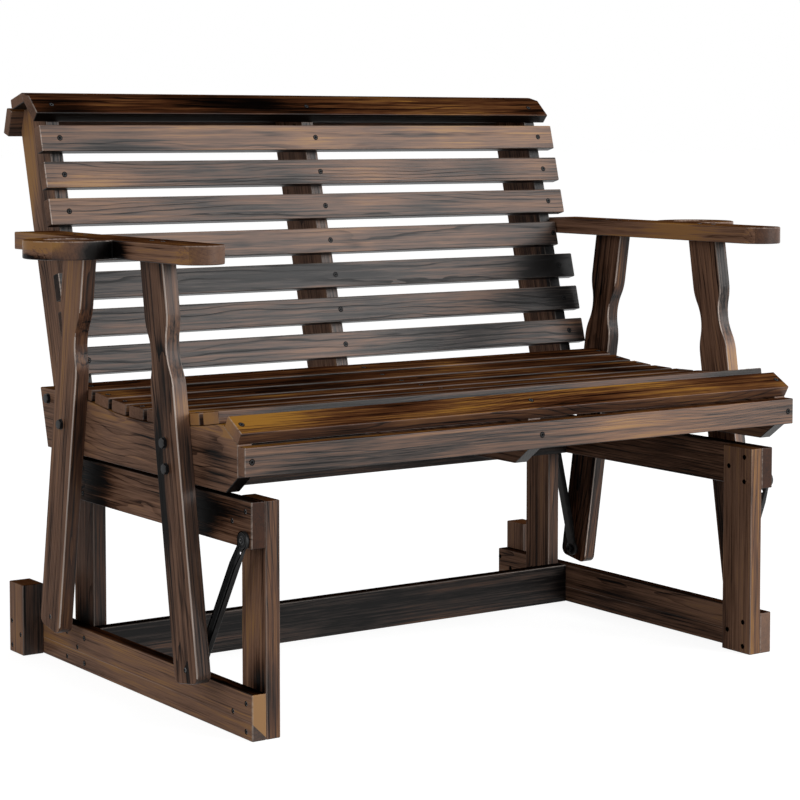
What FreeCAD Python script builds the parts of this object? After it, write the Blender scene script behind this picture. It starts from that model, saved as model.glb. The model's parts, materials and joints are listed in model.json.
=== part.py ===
import FreeCAD, Part
import math
import os

# A two-seat wooden porch glider bench that swings on four steel links.
# Millimetres. X runs along the bench, Y from front to back and Z up.
# While the pieces are drawn, Y is 0 at the front ends of the base rails. At the end
# everything moves so that the origin is under the middle of the bench, on the floor.
# A piece that comes in pairs is drawn for the +X side, named right, and mirrored.

V = FreeCAD.Vector

# Base frame
FRAME_WIDTH = 940.0           # over the outer faces of the side rails
FRAME_STOCK_T = 22.0          # thickness of the frame boards
FRAME_STOCK_W = 63.5          # width of the frame boards
TOP_RAIL_LENGTH = 568.3
BOTTOM_RAIL_TAIL = 109.1      # behind the rear posts
FRAME_HEIGHT = 322.0
STOP_BLOCK_T = 35.2
STOP_BLOCK_W = 48.7
STOP_BLOCK_HEIGHT = 110.4
STOP_BLOCK_OVERHANG = 4.3     # behind the end of the bottom rail

# Swing links and their pivots
LINK_LENGTH = 205.2           # between the two pivot centres
FRONT_PIVOT_INSET = 16.2      # from the front end of the top rail
FRONT_PIVOT_DROP = 52.6       # below the top of the frame
REAR_PIVOT_INSET = 14.5       # from the rear end of the top rail
FRONT_LINK_LEAN_DEG = 24.98   # from upright, the links' feet lean towards each other
REAR_LINK_LEAN_DEG = 10.13
LINK_SHEET_T = 2.5
LINK_BODY_W = 13.0
LINK_FLANGE_DEPTH = 8.5
LINK_CUP_R = 12.5
LINK_CUP_FLOOR_T = 1.0
LINK_CUP_BORE_R = 8.0         # hole in the floor of a cup
LINK_WINDOW_START = 19.0      # from the upper pivot to the drain hole in the channel
LINK_WINDOW = 5.0
LINK_RAMP = 9.0               # length over which the flanges rise from the upper cup
BEARING_R = 11.0
BEARING_W = 4.5
PIVOT_BOLT_R = 3.0            # round shoulder that a bearing turns on
PIVOT_THREAD_R = 2.7          # threaded part in the wood
PIVOT_HEAD_R = 4.6
PIVOT_HEAD_H = 1.8
PIVOT_WASHER_R = 5.5
LOWER_WASHER_T = 0.8
RUNNING_FIT = 0.05            # radial, pivot bolt in bearing
SIDE_GAP = 0.3                # between faces that slide past each other
OPEN_PIVOT_PLAY = 3.7         # radial, rear lower bearings, see the report

# Seat
BOARD_T = 22.0                # supports, legs and back posts
SEAT_SIDE_GAP = 0.4           # side supports swing just outside the rails' faces
SUPPORT_FRONT_Y = -3.0
SEAT_CLEARANCE = 11.0         # supports above the frame
SUPPORT_CHAMFER_Y = 32.0
SUPPORT_CHAMFER_Z = 23.5
NOSE_START_UP = 67.4          # heights above the bottom edge of the supports
NOSE_SLOPE_DEG = 30.0
SEAT_DIP_UP = 71.6
SEAT_REAR_UP = 89.6           # behind the last slat
SEAT_DIP_AHEAD = 223.4        # lowest place of the seat, from the back slats' plane
SEAT_SLATS = 8
SEAT_SLAT_FIRST_Y = 46.5
SEAT_BACK_GAP = 15.4          # from the last slat to the back slats' plane
SEAT_SLAT_W = 43.0
SEAT_SLAT_T = 17.5
SLAT_END_INSET = 1.0          # slats stop short of the legs
APRON_T = 18.4
APRON_UP = 26.4
APRON_H = 39.2
NOSE_BOARD_W = 40.0
NOSE_BOARD_T = 18.0

# Back
BACK_LEAN_DEG = 15.1
BACK_AHEAD = 88.9             # back slats' plane from the rear end of the top rail
BACK_SLATS = 7
BACK_SLAT_FIRST_S = 28.0      # measured up the lean from the rear of the seat
BACK_SLAT_PITCH = 57.3
BACK_SLAT_W = 41.0
BACK_SLAT_T = 18.0
BACK_SUPPORT_W = 89.0
BACK_SUPPORT_TOP_S = 460.5
SHORT_SLAT = 4                # the slat that fits between the armrests, counted from the top
SHORT_SLAT_GAP = 3.7
CAP_SLOPE_DEG = 33.0
CAP_T = 18.0
FRONT_CAP_START_S = 422.5
FRONT_CAP_FACE_W = 38.5
TOP_CAP_T = 16.0
TOP_CAP_MITRE = 3.6
TOP_CAP_REAR_T = 87.5
REAR_CAP_W = 41.0
REAR_CAP_DROP = 2.6

# Arms
ARM_W = 69.6
ARM_T = 26.0
ARM_UP = 302.0                # underside above the bottom edge of the supports
ARM_FRONT_Y = 40.0
ARM_TAIL = 5.7                # behind the rear end of the top rail
CUP_HOLE_R = 35.0
CUP_LOBE_R = 65.0
CUP_LOBE_OUT = 40.0           # from the arm's outer edge to the lobe's centre
CUP_LOBE_BACK = 268.0         # from the arm's front end
LEG_W = 64.5
LEG_LEAN_DEG = 9.2
LEG_FOOT = 19.0               # below the pivot, along the leg
LEG_FOOT_R = 13.0
WAIST_DEPTH = 10.5
WAIST_HALF = 55.0
WAIST_DROP = 126.8            # centre of the waist below the arm, along the leg

# Fasteners
FRAME_BOLT_R = 2.5
FRAME_BOLT_HEAD_R = 3.4
FRAME_BOLT_HEAD_H = 2.2
FRAME_BOLT_SINK = 0.6         # depth of the head below the face
BOLT_EDGE = 16.2              # pair of bolts from the end of a rail
BOLT_LOW = 11.0
BOLT_HIGH = 49.0
BOLT_SINGLE_EDGE = 12.4       # third bolt from the other edge of the post
CAP_NUT_FLATS = 8.0
CAP_NUT_H = 3.5
CAP_NUT_CROWN_H = 2.9
CAP_NUT_CROWN_R = 2.0         # at its flat tip
BLOCK_BOLT_EDGE = 9.0
HEX_BOLT_R = 4.0
HEX_FLATS = 13.0
HEX_HEAD_H = 5.3
HEX_NUT_H = 6.5
PIVOT_NUT_FLATS = 10.0
PIVOT_NUT_H = 5.0
PIVOT_SUNK_HEAD_H = 2.4       # heads of the lower bolts, flush with the legs
LEG_BOLT_SHIFT = 5.0          # behind the centre line of the leg
FRONT_BOLTS_UP = (54.1, 19.1) # above the bottom edge of the supports
REAR_BOLTS_UP = (45.9,)
BACK_BOLT_T = 84.2            # behind the back slats' plane
BACK_BOLT_S = 7.0             # up the lean from the rear of the seat
HOLE_CLEARANCE = 0.3          # radial, holes for bolts in the wood
CUT_OVER = 1.0                # cutting tools reach this far past a face

# Small round things have flat sides, so that the whole bench stays light
BOLT_SIDES = 6
PIVOT_SIDES = 8
CUP_SIDES = 12

# Derived places
RAIL_OUT_X = FRAME_WIDTH / 2
RAIL_IN_X = RAIL_OUT_X - FRAME_STOCK_T
POST_IN_X = RAIL_IN_X - FRAME_STOCK_T
TOP_RAIL_Z = FRAME_HEIGHT - FRAME_STOCK_W
SUPPORT_IN_X = RAIL_OUT_X + SEAT_SIDE_GAP
SUPPORT_OUT_X = SUPPORT_IN_X + BOARD_T
BACK_IN_X = SUPPORT_IN_X - BOARD_T
LEG_OUT_X = SUPPORT_OUT_X + BOARD_T
SLAT_HALF = SUPPORT_OUT_X - SLAT_END_INSET
LEAN = math.radians(BACK_LEAN_DEG)
CAP_SLOPE = math.radians(CAP_SLOPE_DEG)
LEG_LEAN = math.radians(LEG_LEAN_DEG)


SUPPORT_BOTTOM_Z = FRAME_HEIGHT + SEAT_CLEARANCE
SEAT_REAR_Z = SUPPORT_BOTTOM_Z + SEAT_REAR_UP
ARM_UNDER_Z = SUPPORT_BOTTOM_Z + ARM_UP
BACK_FACE_Y = TOP_RAIL_LENGTH - BACK_AHEAD
SEAT_DIP_Y = BACK_FACE_Y - SEAT_DIP_AHEAD
SEAT_LAST_Y = BACK_FACE_Y - SEAT_BACK_GAP - SEAT_SLAT_W
SEAT_SLAT_PITCH = (SEAT_LAST_Y - SEAT_SLAT_FIRST_Y) / (SEAT_SLATS - 1)
FRONT_LINK_LEAN = math.radians(FRONT_LINK_LEAN_DEG)
REAR_LINK_LEAN = math.radians(REAR_LINK_LEAN_DEG)
FRONT_UPPER = (FRONT_PIVOT_INSET, FRAME_HEIGHT - FRONT_PIVOT_DROP)
LOWER_PIVOT_Z = FRONT_UPPER[1] - LINK_LENGTH * math.cos(FRONT_LINK_LEAN)
FRONT_LOWER = (FRONT_UPPER[0] + LINK_LENGTH * math.sin(FRONT_LINK_LEAN), LOWER_PIVOT_Z)
REAR_UPPER_Z = LOWER_PIVOT_Z + LINK_LENGTH * math.cos(REAR_LINK_LEAN)
REAR_UPPER = (TOP_RAIL_LENGTH - REAR_PIVOT_INSET, REAR_UPPER_Z)
REAR_LOWER = (REAR_UPPER[0] - LINK_LENGTH * math.sin(REAR_LINK_LEAN), LOWER_PIVOT_Z)

pieces = {}


def box(x0, x1, y0, y1, z0, z1):
    return Part.makeBox(x1 - x0, y1 - y0, z1 - z0, V(x0, y0, z0))


def prism_x(points, x0, x1):
    """Extrude an outline of (y, z) points along X."""
    corners = [V(x0, y, z) for y, z in points]
    wire = Part.makePolygon(corners + corners[:1])
    return Part.Face(wire).extrude(V(x1 - x0, 0, 0))


def rod_x(y, z, radius, x0, x1):
    return Part.makeCylinder(radius, x1 - x0, V(x0, y, z), V(1, 0, 0))


def polygon_points(y, z, radius, sides):
    points = []
    for corner in range(sides):
        angle = 2 * math.pi * corner / sides
        points.append((y + radius * math.cos(angle), z + radius * math.sin(angle)))
    return points


def sided_rod_x(y, z, radius, sides, x0, x1):
    """Round bar along X with flat sides and its corners on the radius."""
    return prism_x(polygon_points(y, z, radius, sides), x0, x1)


def sided_ring_x(y, z, outer_r, inner_r, sides, x0, x1):
    outer = sided_rod_x(y, z, outer_r, sides, x0, x1)
    return outer.cut(sided_rod_x(y, z, inner_r, sides, x0 - CUT_OVER, x1 + CUT_OVER))


def corner_radius(flats):
    """Radius of a hexagon's corners from its size across the flats."""
    return flats / 2 / math.cos(math.pi / 6)


def hexagon_x(y, z, flats, x0, x1):
    return sided_rod_x(y, z, corner_radius(flats), 6, x0, x1)


def mirrored(shape):
    return shape.mirror(V(0, 0, 0), V(1, 0, 0))


def add(name, *shapes):
    pieces[name] = shapes[0] if len(shapes) == 1 else Part.makeCompound(list(shapes))


def add_pair(name, shape):
    add(name + "_right", shape)
    add(name + "_left", mirrored(shape))


def add_group(name, right_shapes, middle_shapes=()):
    left_shapes = [mirrored(shape) for shape in right_shapes]
    add(name, *right_shapes, *left_shapes, *middle_shapes)


def drilled(shape, holes):
    return shape.cut(Part.makeCompound(holes)) if holes else shape


# Base frame

def frame_joint(end_y, inward, low_z, heights):
    """Three bolt places (y, z) where a post is bolted to the end of a rail."""
    pair_y = end_y + inward * BOLT_EDGE
    single_y = end_y + inward * (FRAME_STOCK_W - BOLT_SINGLE_EDGE)
    places = [(pair_y, low_z + height) for height in heights]
    places.append((single_y, low_z + FRAME_STOCK_W / 2))
    return places


def frame_bolt(y, z, head_x, nut_x):
    """Bolt with a sunk head and its shank up to the crown of the cap nut."""
    seat_x = head_x - FRAME_BOLT_SINK - FRAME_BOLT_HEAD_H
    head = sided_rod_x(y, z, FRAME_BOLT_HEAD_R, BOLT_SIDES, seat_x, head_x - FRAME_BOLT_SINK)
    shank = sided_rod_x(y, z, FRAME_BOLT_R, BOLT_SIDES, nut_x - CAP_NUT_H, seat_x)
    return head.fuse(shank)


def frame_bolt_hole(y, z, head_x, nut_x):
    seat_x = head_x - FRAME_BOLT_SINK - FRAME_BOLT_HEAD_H
    head_r = FRAME_BOLT_HEAD_R + HOLE_CLEARANCE
    shank_r = FRAME_BOLT_R + HOLE_CLEARANCE
    head = sided_rod_x(y, z, head_r, BOLT_SIDES, seat_x, head_x + CUT_OVER)
    shank = sided_rod_x(y, z, shank_r, BOLT_SIDES, nut_x - CUT_OVER, seat_x)
    return head.fuse(shank)


def cap_nut(y, z, face_x, thread_r):
    """Crowned nut on an inner face, its crown towards the middle of the bench."""
    crown_x = face_x - CAP_NUT_H
    body = hexagon_x(y, z, CAP_NUT_FLATS, crown_x, face_x)
    rims = []
    for radius, x in ((corner_radius(CAP_NUT_FLATS), crown_x), (CAP_NUT_CROWN_R, crown_x - CAP_NUT_CROWN_H)):
        corners = [V(x, py, pz) for py, pz in polygon_points(y, z, radius, 6)]
        rims.append(Part.makePolygon(corners + corners[:1]))
    crown = Part.makeLoft(rims, True, True)
    thread = sided_rod_x(y, z, thread_r, BOLT_SIDES, crown_x, face_x + CUT_OVER)
    return body.fuse(crown).cut(thread)


def base_frame():
    rear_post_end = TOP_RAIL_LENGTH
    rail_end = rear_post_end + BOTTOM_RAIL_TAIL
    both = (BOLT_LOW, BOLT_HIGH)
    lower_joints = frame_joint(0, 1, 0, both) + frame_joint(rear_post_end, -1, 0, both)
    upper_joints = frame_joint(0, 1, TOP_RAIL_Z, (BOLT_HIGH,))
    upper_joints += frame_joint(rear_post_end, -1, TOP_RAIL_Z, (BOLT_HIGH,))
    joints = lower_joints + upper_joints
    pivots = [FRONT_UPPER, REAR_UPPER]

    block_rear = rail_end + STOP_BLOCK_OVERHANG
    block_front = block_rear - STOP_BLOCK_W
    block_out_x = RAIL_OUT_X + STOP_BLOCK_T
    block_bolts = [(block_rear - BLOCK_BOLT_EDGE, height) for height in both]
    block_bolts.append((block_front + BLOCK_BOLT_EDGE, FRAME_STOCK_W / 2))

    stretcher_y1 = rear_post_end - FRAME_STOCK_W
    stretcher_y0 = stretcher_y1 - FRAME_STOCK_T

    thread_hole_r = PIVOT_THREAD_R + HOLE_CLEARANCE
    holes = [frame_bolt_hole(y, z, RAIL_OUT_X, POST_IN_X) for y, z in joints]
    holes += [frame_bolt_hole(y, z, block_out_x, RAIL_IN_X) for y, z in block_bolts]
    for y, z in pivots:
        hole_x = (POST_IN_X - CUT_OVER, RAIL_OUT_X + CUT_OVER)
        holes.append(sided_rod_x(y, z, thread_hole_r, BOLT_SIDES, *hole_x))

    bottom_rail = box(RAIL_IN_X, RAIL_OUT_X, 0, rail_end, 0, FRAME_STOCK_W)
    top_rail = box(RAIL_IN_X, RAIL_OUT_X, 0, TOP_RAIL_LENGTH, TOP_RAIL_Z, FRAME_HEIGHT)
    front_post = box(POST_IN_X, RAIL_IN_X, 0, FRAME_STOCK_W, 0, FRAME_HEIGHT)
    rear_post = box(POST_IN_X, RAIL_IN_X, stretcher_y1, rear_post_end, 0, FRAME_HEIGHT)
    stop_block = box(RAIL_OUT_X, block_out_x, block_front, block_rear, 0, STOP_BLOCK_HEIGHT)
    add_pair("bottom_rail", drilled(bottom_rail, holes))
    add_pair("top_rail", drilled(top_rail, holes))
    add_pair("front_post", drilled(front_post, holes))
    add_pair("rear_post", drilled(rear_post, holes))
    add_pair("stop_block", drilled(stop_block, holes))
    for name, low_z in (("lower_stretcher", 0), ("upper_stretcher", TOP_RAIL_Z)):
        add(name, box(-RAIL_IN_X, RAIL_IN_X, stretcher_y0, stretcher_y1, low_z, low_z + FRAME_STOCK_W))

    bolts = [frame_bolt(y, z, RAIL_OUT_X, POST_IN_X) for y, z in joints]
    bolts += [frame_bolt(y, z, block_out_x, RAIL_IN_X) for y, z in block_bolts]
    nuts = [cap_nut(y, z, POST_IN_X, FRAME_BOLT_R) for y, z in joints]
    nuts += [cap_nut(y, z, POST_IN_X, PIVOT_THREAD_R) for y, z in pivots]
    nuts += [cap_nut(y, z, RAIL_IN_X, FRAME_BOLT_R) for y, z in block_bolts]
    add_group("frame_bolts", bolts)
    add_group("frame_cap_nuts", nuts)


# Swing links: pressed steel channels with a bearing cup at each end. A link runs
# from the rail's face at the top to the leg's face at the foot, with its flanges outwards.
# It is drawn hanging straight down from its upper pivot, then turned to its place.

UPPER_FLOOR_X = RAIL_OUT_X + SIDE_GAP
UPPER_BEARING_X = UPPER_FLOOR_X + LINK_CUP_FLOOR_T
LOWER_BEARING_X = SUPPORT_OUT_X - LOWER_WASHER_T - SIDE_GAP - BEARING_W
LOWER_FLOOR_X = LOWER_BEARING_X - LINK_CUP_FLOOR_T
LINK_OUT_X = LOWER_BEARING_X + BEARING_W


def bearing_cup(z, floor_x, bearing_x):
    """Round cup that holds a bearing, with a floor from floor_x to bearing_x."""
    cup = sided_rod_x(0, z, LINK_CUP_R, CUP_SIDES, floor_x, bearing_x + BEARING_W)
    seat = sided_rod_x(0, z, BEARING_R, CUP_SIDES, bearing_x, bearing_x + BEARING_W + CUT_OVER)
    bore = sided_rod_x(0, z, LINK_CUP_BORE_R, CUP_SIDES, floor_x - CUT_OVER, bearing_x)
    return cup, [seat, bore]


def web_x(down):
    """Place of the web's inner face, from the rail's side to the leg's side."""
    start, end = LINK_CUP_R, LINK_LENGTH - LINK_CUP_R
    share = min(max((down - start) / (end - start), 0), 1)
    return UPPER_FLOOR_X + share * (LOWER_FLOOR_X - UPPER_FLOOR_X)


def prism_y(points, y0, y1):
    corners = [V(x, y0, z) for x, z in points]
    wire = Part.makePolygon(corners + corners[:1])
    return Part.Face(wire).extrude(V(0, y1 - y0, 0))


def link():
    upper_cup, upper_cuts = bearing_cup(0, UPPER_FLOOR_X, UPPER_BEARING_X)
    lower_cup, lower_cuts = bearing_cup(-LINK_LENGTH, LOWER_FLOOR_X, LOWER_BEARING_X)
    body_end = LINK_LENGTH - LINK_CUP_R
    ramp_end = LINK_CUP_R + LINK_RAMP
    slope = (LOWER_FLOOR_X - UPPER_FLOOR_X) / (body_end - LINK_CUP_R)
    full_depth_x = web_x(ramp_end) + LINK_FLANGE_DEPTH
    level_from = ramp_end + (LINK_OUT_X - full_depth_x) / slope
    web = [(UPPER_FLOOR_X, 0), (UPPER_FLOOR_X, -LINK_CUP_R)]
    web += [(LOWER_FLOOR_X, -body_end), (LOWER_FLOOR_X, -LINK_LENGTH)]
    rim = [(LINK_OUT_X, -LINK_LENGTH), (LINK_OUT_X, -level_from), (full_depth_x, -ramp_end)]
    rim += [(UPPER_BEARING_X + BEARING_W, -LINK_CUP_R), (UPPER_BEARING_X + BEARING_W, 0)]
    body = prism_y(web + rim, -LINK_BODY_W / 2, LINK_BODY_W / 2)
    hollow_half = LINK_BODY_W / 2 - LINK_SHEET_T
    web_face = [(x + LINK_SHEET_T, z) for x, z in web]
    open_side = [(LINK_OUT_X + CUT_OVER, -LINK_LENGTH), (LINK_OUT_X + CUT_OVER, 0)]
    hollow = prism_y(web_face + open_side, -hollow_half, hollow_half)
    window_end = -LINK_WINDOW_START - LINK_WINDOW
    window = box(UPPER_FLOOR_X, LINK_OUT_X, -hollow_half, hollow_half, window_end, -LINK_WINDOW_START)
    channel = body.cut(hollow).cut(window)
    whole = channel.fuse(upper_cup).fuse(lower_cup).removeSplitter()
    return whole.cut(Part.makeCompound(upper_cuts + lower_cuts))


def bearing(z, x0, bore_r):
    """Sealed ball bearing that fills its cup, with a truly round bore."""
    body = sided_rod_x(0, z, BEARING_R, CUP_SIDES, x0, x0 + BEARING_W)
    return body.cut(rod_x(0, z, bore_r, x0 - CUT_OVER, x0 + BEARING_W + CUT_OVER))


def placed(shape, upper, lower):
    """Turn a hanging shape about the upper pivot until it points at the lower one."""
    angle = math.degrees(math.atan2(lower[0] - upper[0], upper[1] - lower[1]))
    turned = shape.copy()
    turned.rotate(V(0, 0, 0), V(1, 0, 0), angle)
    turned.translate(V(0, upper[0], upper[1]))
    return turned


def links():
    front = ("front", FRONT_UPPER, FRONT_LOWER, RUNNING_FIT)
    rear = ("rear", REAR_UPPER, REAR_LOWER, OPEN_PIVOT_PLAY)
    for name, upper, lower, lower_play in (front, rear):
        upper_bearing = bearing(0, UPPER_BEARING_X, PIVOT_BOLT_R + RUNNING_FIT)
        lower_bearing = bearing(-LINK_LENGTH, LOWER_BEARING_X, PIVOT_BOLT_R + lower_play)
        pair = Part.makeCompound([upper_bearing, lower_bearing])
        add_pair("link_" + name, placed(link(), upper, lower))
        add_pair("bearings_" + name, placed(pair, upper, lower))


def washer(y, z, x0, x1):
    hole_r = PIVOT_BOLT_R + HOLE_CLEARANCE
    return sided_ring_x(y, z, PIVOT_WASHER_R, hole_r, PIVOT_SIDES, x0, x1)


def pivot_bolts():
    """Shoulder bolts: the upper ones stand in the rails, the lower ones in the legs."""
    upper_bolts = []
    upper_washers = []
    for y, z in (FRONT_UPPER, REAR_UPPER):
        head_x = UPPER_BEARING_X + BEARING_W + SIDE_GAP
        thread = sided_rod_x(y, z, PIVOT_THREAD_R, BOLT_SIDES, POST_IN_X - CAP_NUT_H, RAIL_OUT_X)
        shoulder = rod_x(y, z, PIVOT_BOLT_R, RAIL_OUT_X, head_x)
        head = sided_rod_x(y, z, PIVOT_HEAD_R, PIVOT_SIDES, head_x, head_x + PIVOT_HEAD_H)
        upper_bolts.append(thread.fuse([shoulder, head]))
        upper_washers.append(washer(y, z, RAIL_OUT_X, UPPER_BEARING_X - SIDE_GAP))
    add_group("upper_pivot_bolts", upper_bolts)
    add_group("upper_pivot_washers", upper_washers)

    lower_bolts = []
    nuts = []
    lower_washers = []
    nut_x = LOWER_FLOOR_X - SIDE_GAP
    thread_end = nut_x - PIVOT_NUT_H
    for y, z in (FRONT_LOWER, REAR_LOWER):
        seat_x = LEG_OUT_X - PIVOT_SUNK_HEAD_H
        head = sided_rod_x(y, z, PIVOT_HEAD_R, PIVOT_SIDES, seat_x, LEG_OUT_X)
        shoulder = rod_x(y, z, PIVOT_BOLT_R, nut_x, seat_x)
        thread = sided_rod_x(y, z, PIVOT_THREAD_R, BOLT_SIDES, thread_end, nut_x)
        lower_bolts.append(head.fuse([shoulder, thread]))
        lower_washers.append(washer(y, z, LOWER_BEARING_X + BEARING_W + SIDE_GAP, SUPPORT_OUT_X))
        nut = hexagon_x(y, z, PIVOT_NUT_FLATS, thread_end, nut_x)
        thread_cut = sided_rod_x(y, z, PIVOT_THREAD_R, BOLT_SIDES, thread_end - CUT_OVER, nut_x + CUT_OVER)
        nuts.append(nut.cut(thread_cut))
    add_group("lower_pivot_bolts", lower_bolts)
    add_group("lower_pivot_nuts_and_washers", nuts + lower_washers)


# Seat

def seat_curve(y):
    """Height of the supports' dished top edge."""
    depth = SEAT_REAR_UP - SEAT_DIP_UP
    reach = SEAT_LAST_Y + SEAT_SLAT_W - SEAT_DIP_Y
    radius = (reach ** 2 + depth ** 2) / (2 * depth)
    dip_z = SUPPORT_BOTTOM_Z + SEAT_DIP_UP
    return dip_z + radius - math.sqrt(radius ** 2 - (y - SEAT_DIP_Y) ** 2)


def seat_slat_seat(index):
    """Flat under a slat: its front point, its rear point and the unit vector between."""
    y0 = SEAT_SLAT_FIRST_Y + index * SEAT_SLAT_PITCH
    z0 = seat_curve(y0)
    z1 = seat_curve(y0 + SEAT_SLAT_W)
    chord = math.hypot(SEAT_SLAT_W, z1 - z0)
    uy = SEAT_SLAT_W / chord
    uz = (z1 - z0) / chord
    return (y0, z0), (y0 + uy * SEAT_SLAT_W, z0 + uz * SEAT_SLAT_W), (uy, uz)


def board_section(corner, along, width, thickness):
    """Rectangle with its inner edge from corner; the thickness is to the left of along."""
    ay, az = along
    y, z = corner
    far_y = y + ay * width
    far_z = z + az * width
    shift_y = -az * thickness
    shift_z = ay * thickness
    return [corner, (far_y, far_z), (far_y + shift_y, far_z + shift_z), (y + shift_y, z + shift_z)]


def back_point(t, s):
    """Point (y, z) at t behind the slats' front plane and s up the lean."""
    y = BACK_FACE_Y + t * math.cos(LEAN) + s * math.sin(LEAN)
    z = SEAT_REAR_Z - t * math.sin(LEAN) + s * math.cos(LEAN)
    return y, z


def back_line_y(t, z):
    """Where the line at t behind the slats' front plane passes the height z."""
    return BACK_FACE_Y + t / math.cos(LEAN) + math.tan(LEAN) * (z - SEAT_REAR_Z)


BACK_REAR_T = BACK_SLAT_T + BACK_SUPPORT_W


def seat_support_outline():
    nose_slope = math.tan(math.radians(NOSE_SLOPE_DEG))
    bottom_z = SUPPORT_BOTTOM_Z
    outline = [(SUPPORT_FRONT_Y, bottom_z + SUPPORT_CHAMFER_Z), (SUPPORT_FRONT_Y + SUPPORT_CHAMFER_Y, bottom_z)]
    outline.append((back_line_y(BACK_REAR_T, bottom_z), bottom_z))
    outline.append((back_line_y(BACK_REAR_T, SEAT_REAR_Z), SEAT_REAR_Z))
    for index in reversed(range(SEAT_SLATS)):
        front, rear, _ = seat_slat_seat(index)
        outline += [rear, front]
    first = outline[-1]
    nose_z = bottom_z + NOSE_START_UP
    nose_y = SUPPORT_FRONT_Y + (first[1] - nose_z) / nose_slope
    outline.append((min(nose_y, first[0] - CUT_OVER), first[1]))
    outline.append((SUPPORT_FRONT_Y, nose_z))
    return outline


def back_support_outline():
    cap_run = (BACK_SUPPORT_TOP_S - FRONT_CAP_START_S) * math.tan(CAP_SLOPE)
    rear_drop = (BACK_REAR_T - TOP_CAP_REAR_T) / math.tan(CAP_SLOPE)
    outline = [(back_line_y(BACK_SLAT_T, SUPPORT_BOTTOM_Z), SUPPORT_BOTTOM_Z)]
    outline.append((back_line_y(BACK_REAR_T, SUPPORT_BOTTOM_Z), SUPPORT_BOTTOM_Z))
    outline.append(back_point(BACK_REAR_T, BACK_SUPPORT_TOP_S - rear_drop))
    outline.append(back_point(TOP_CAP_REAR_T, BACK_SUPPORT_TOP_S))
    outline.append(back_point(BACK_SLAT_T + cap_run, BACK_SUPPORT_TOP_S))
    outline.append(back_point(BACK_SLAT_T, FRONT_CAP_START_S))
    return outline


def cross_board(name, section, half_length):
    """Board that runs across the bench over all three supports."""
    add(name, prism_x(section, -half_length, half_length))


def seat_boards():
    for index in range(SEAT_SLATS):
        front, _, along = seat_slat_seat(index)
        section = board_section(front, along, SEAT_SLAT_W, SEAT_SLAT_T)
        cross_board("seat_slat_%d" % (index + 1), section, SLAT_HALF)

    slope = math.radians(NOSE_SLOPE_DEG)
    nose_along = (math.cos(slope), math.sin(slope))
    nose_foot = (SUPPORT_FRONT_Y, SUPPORT_BOTTOM_Z + NOSE_START_UP)
    section = board_section(nose_foot, nose_along, NOSE_BOARD_W, NOSE_BOARD_T)
    cross_board("nose_board", section, SUPPORT_OUT_X)
    apron_foot = (SUPPORT_FRONT_Y, SUPPORT_BOTTOM_Z + APRON_UP)
    section = board_section(apron_foot, (0, 1), APRON_H, APRON_T)
    cross_board("front_apron", section, SUPPORT_OUT_X)


def back_boards():
    """Slats and the three cap boards. Returns how far back they reach."""
    up = (math.sin(LEAN), math.cos(LEAN))
    for index in range(BACK_SLATS):
        start_s = BACK_SLAT_FIRST_S + (BACK_SLATS - 1 - index) * BACK_SLAT_PITCH
        section = board_section(back_point(BACK_SLAT_T, start_s), up, BACK_SLAT_W, BACK_SLAT_T)
        half = SUPPORT_IN_X - SHORT_SLAT_GAP if index + 1 == SHORT_SLAT else SLAT_HALF
        cross_board("back_slat_%d" % (index + 1), section, half)

    run = math.sin(CAP_SLOPE)
    rise = math.cos(CAP_SLOPE)
    cap_run = (BACK_SUPPORT_TOP_S - FRONT_CAP_START_S) * math.tan(CAP_SLOPE)
    heel = (BACK_SLAT_T, FRONT_CAP_START_S)
    toe = (heel[0] - CAP_T * rise, heel[1] + CAP_T * run)
    brow = (toe[0] + FRONT_CAP_FACE_W * run, toe[1] + FRONT_CAP_FACE_W * rise)
    mitre_low = (BACK_SLAT_T + cap_run, BACK_SUPPORT_TOP_S)
    mitre_high = (mitre_low[0] + TOP_CAP_MITRE, BACK_SUPPORT_TOP_S + TOP_CAP_T)
    front_cap = [back_point(*corner) for corner in (heel, mitre_low, mitre_high, brow, toe)]
    cross_board("cap_front", front_cap, SLAT_HALF)

    top_corners = (mitre_low, (TOP_CAP_REAR_T, mitre_low[1]), (TOP_CAP_REAR_T, mitre_high[1]), mitre_high)
    cross_board("cap_top", [back_point(*corner) for corner in top_corners], SLAT_HALF)

    start = (TOP_CAP_REAR_T + REAR_CAP_DROP * run, BACK_SUPPORT_TOP_S - REAR_CAP_DROP * rise)
    foot = (start[0] + REAR_CAP_W * run, start[1] - REAR_CAP_W * rise)
    out_t = CAP_T * rise
    out_s = CAP_T * run
    outer = ((foot[0] + out_t, foot[1] + out_s), (start[0] + out_t, start[1] + out_s))
    rear_cap = [back_point(*corner) for corner in (start, foot) + outer]
    cross_board("cap_rear", rear_cap, SLAT_HALF)
    return max(y for y, z in rear_cap)


# Arms

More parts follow.
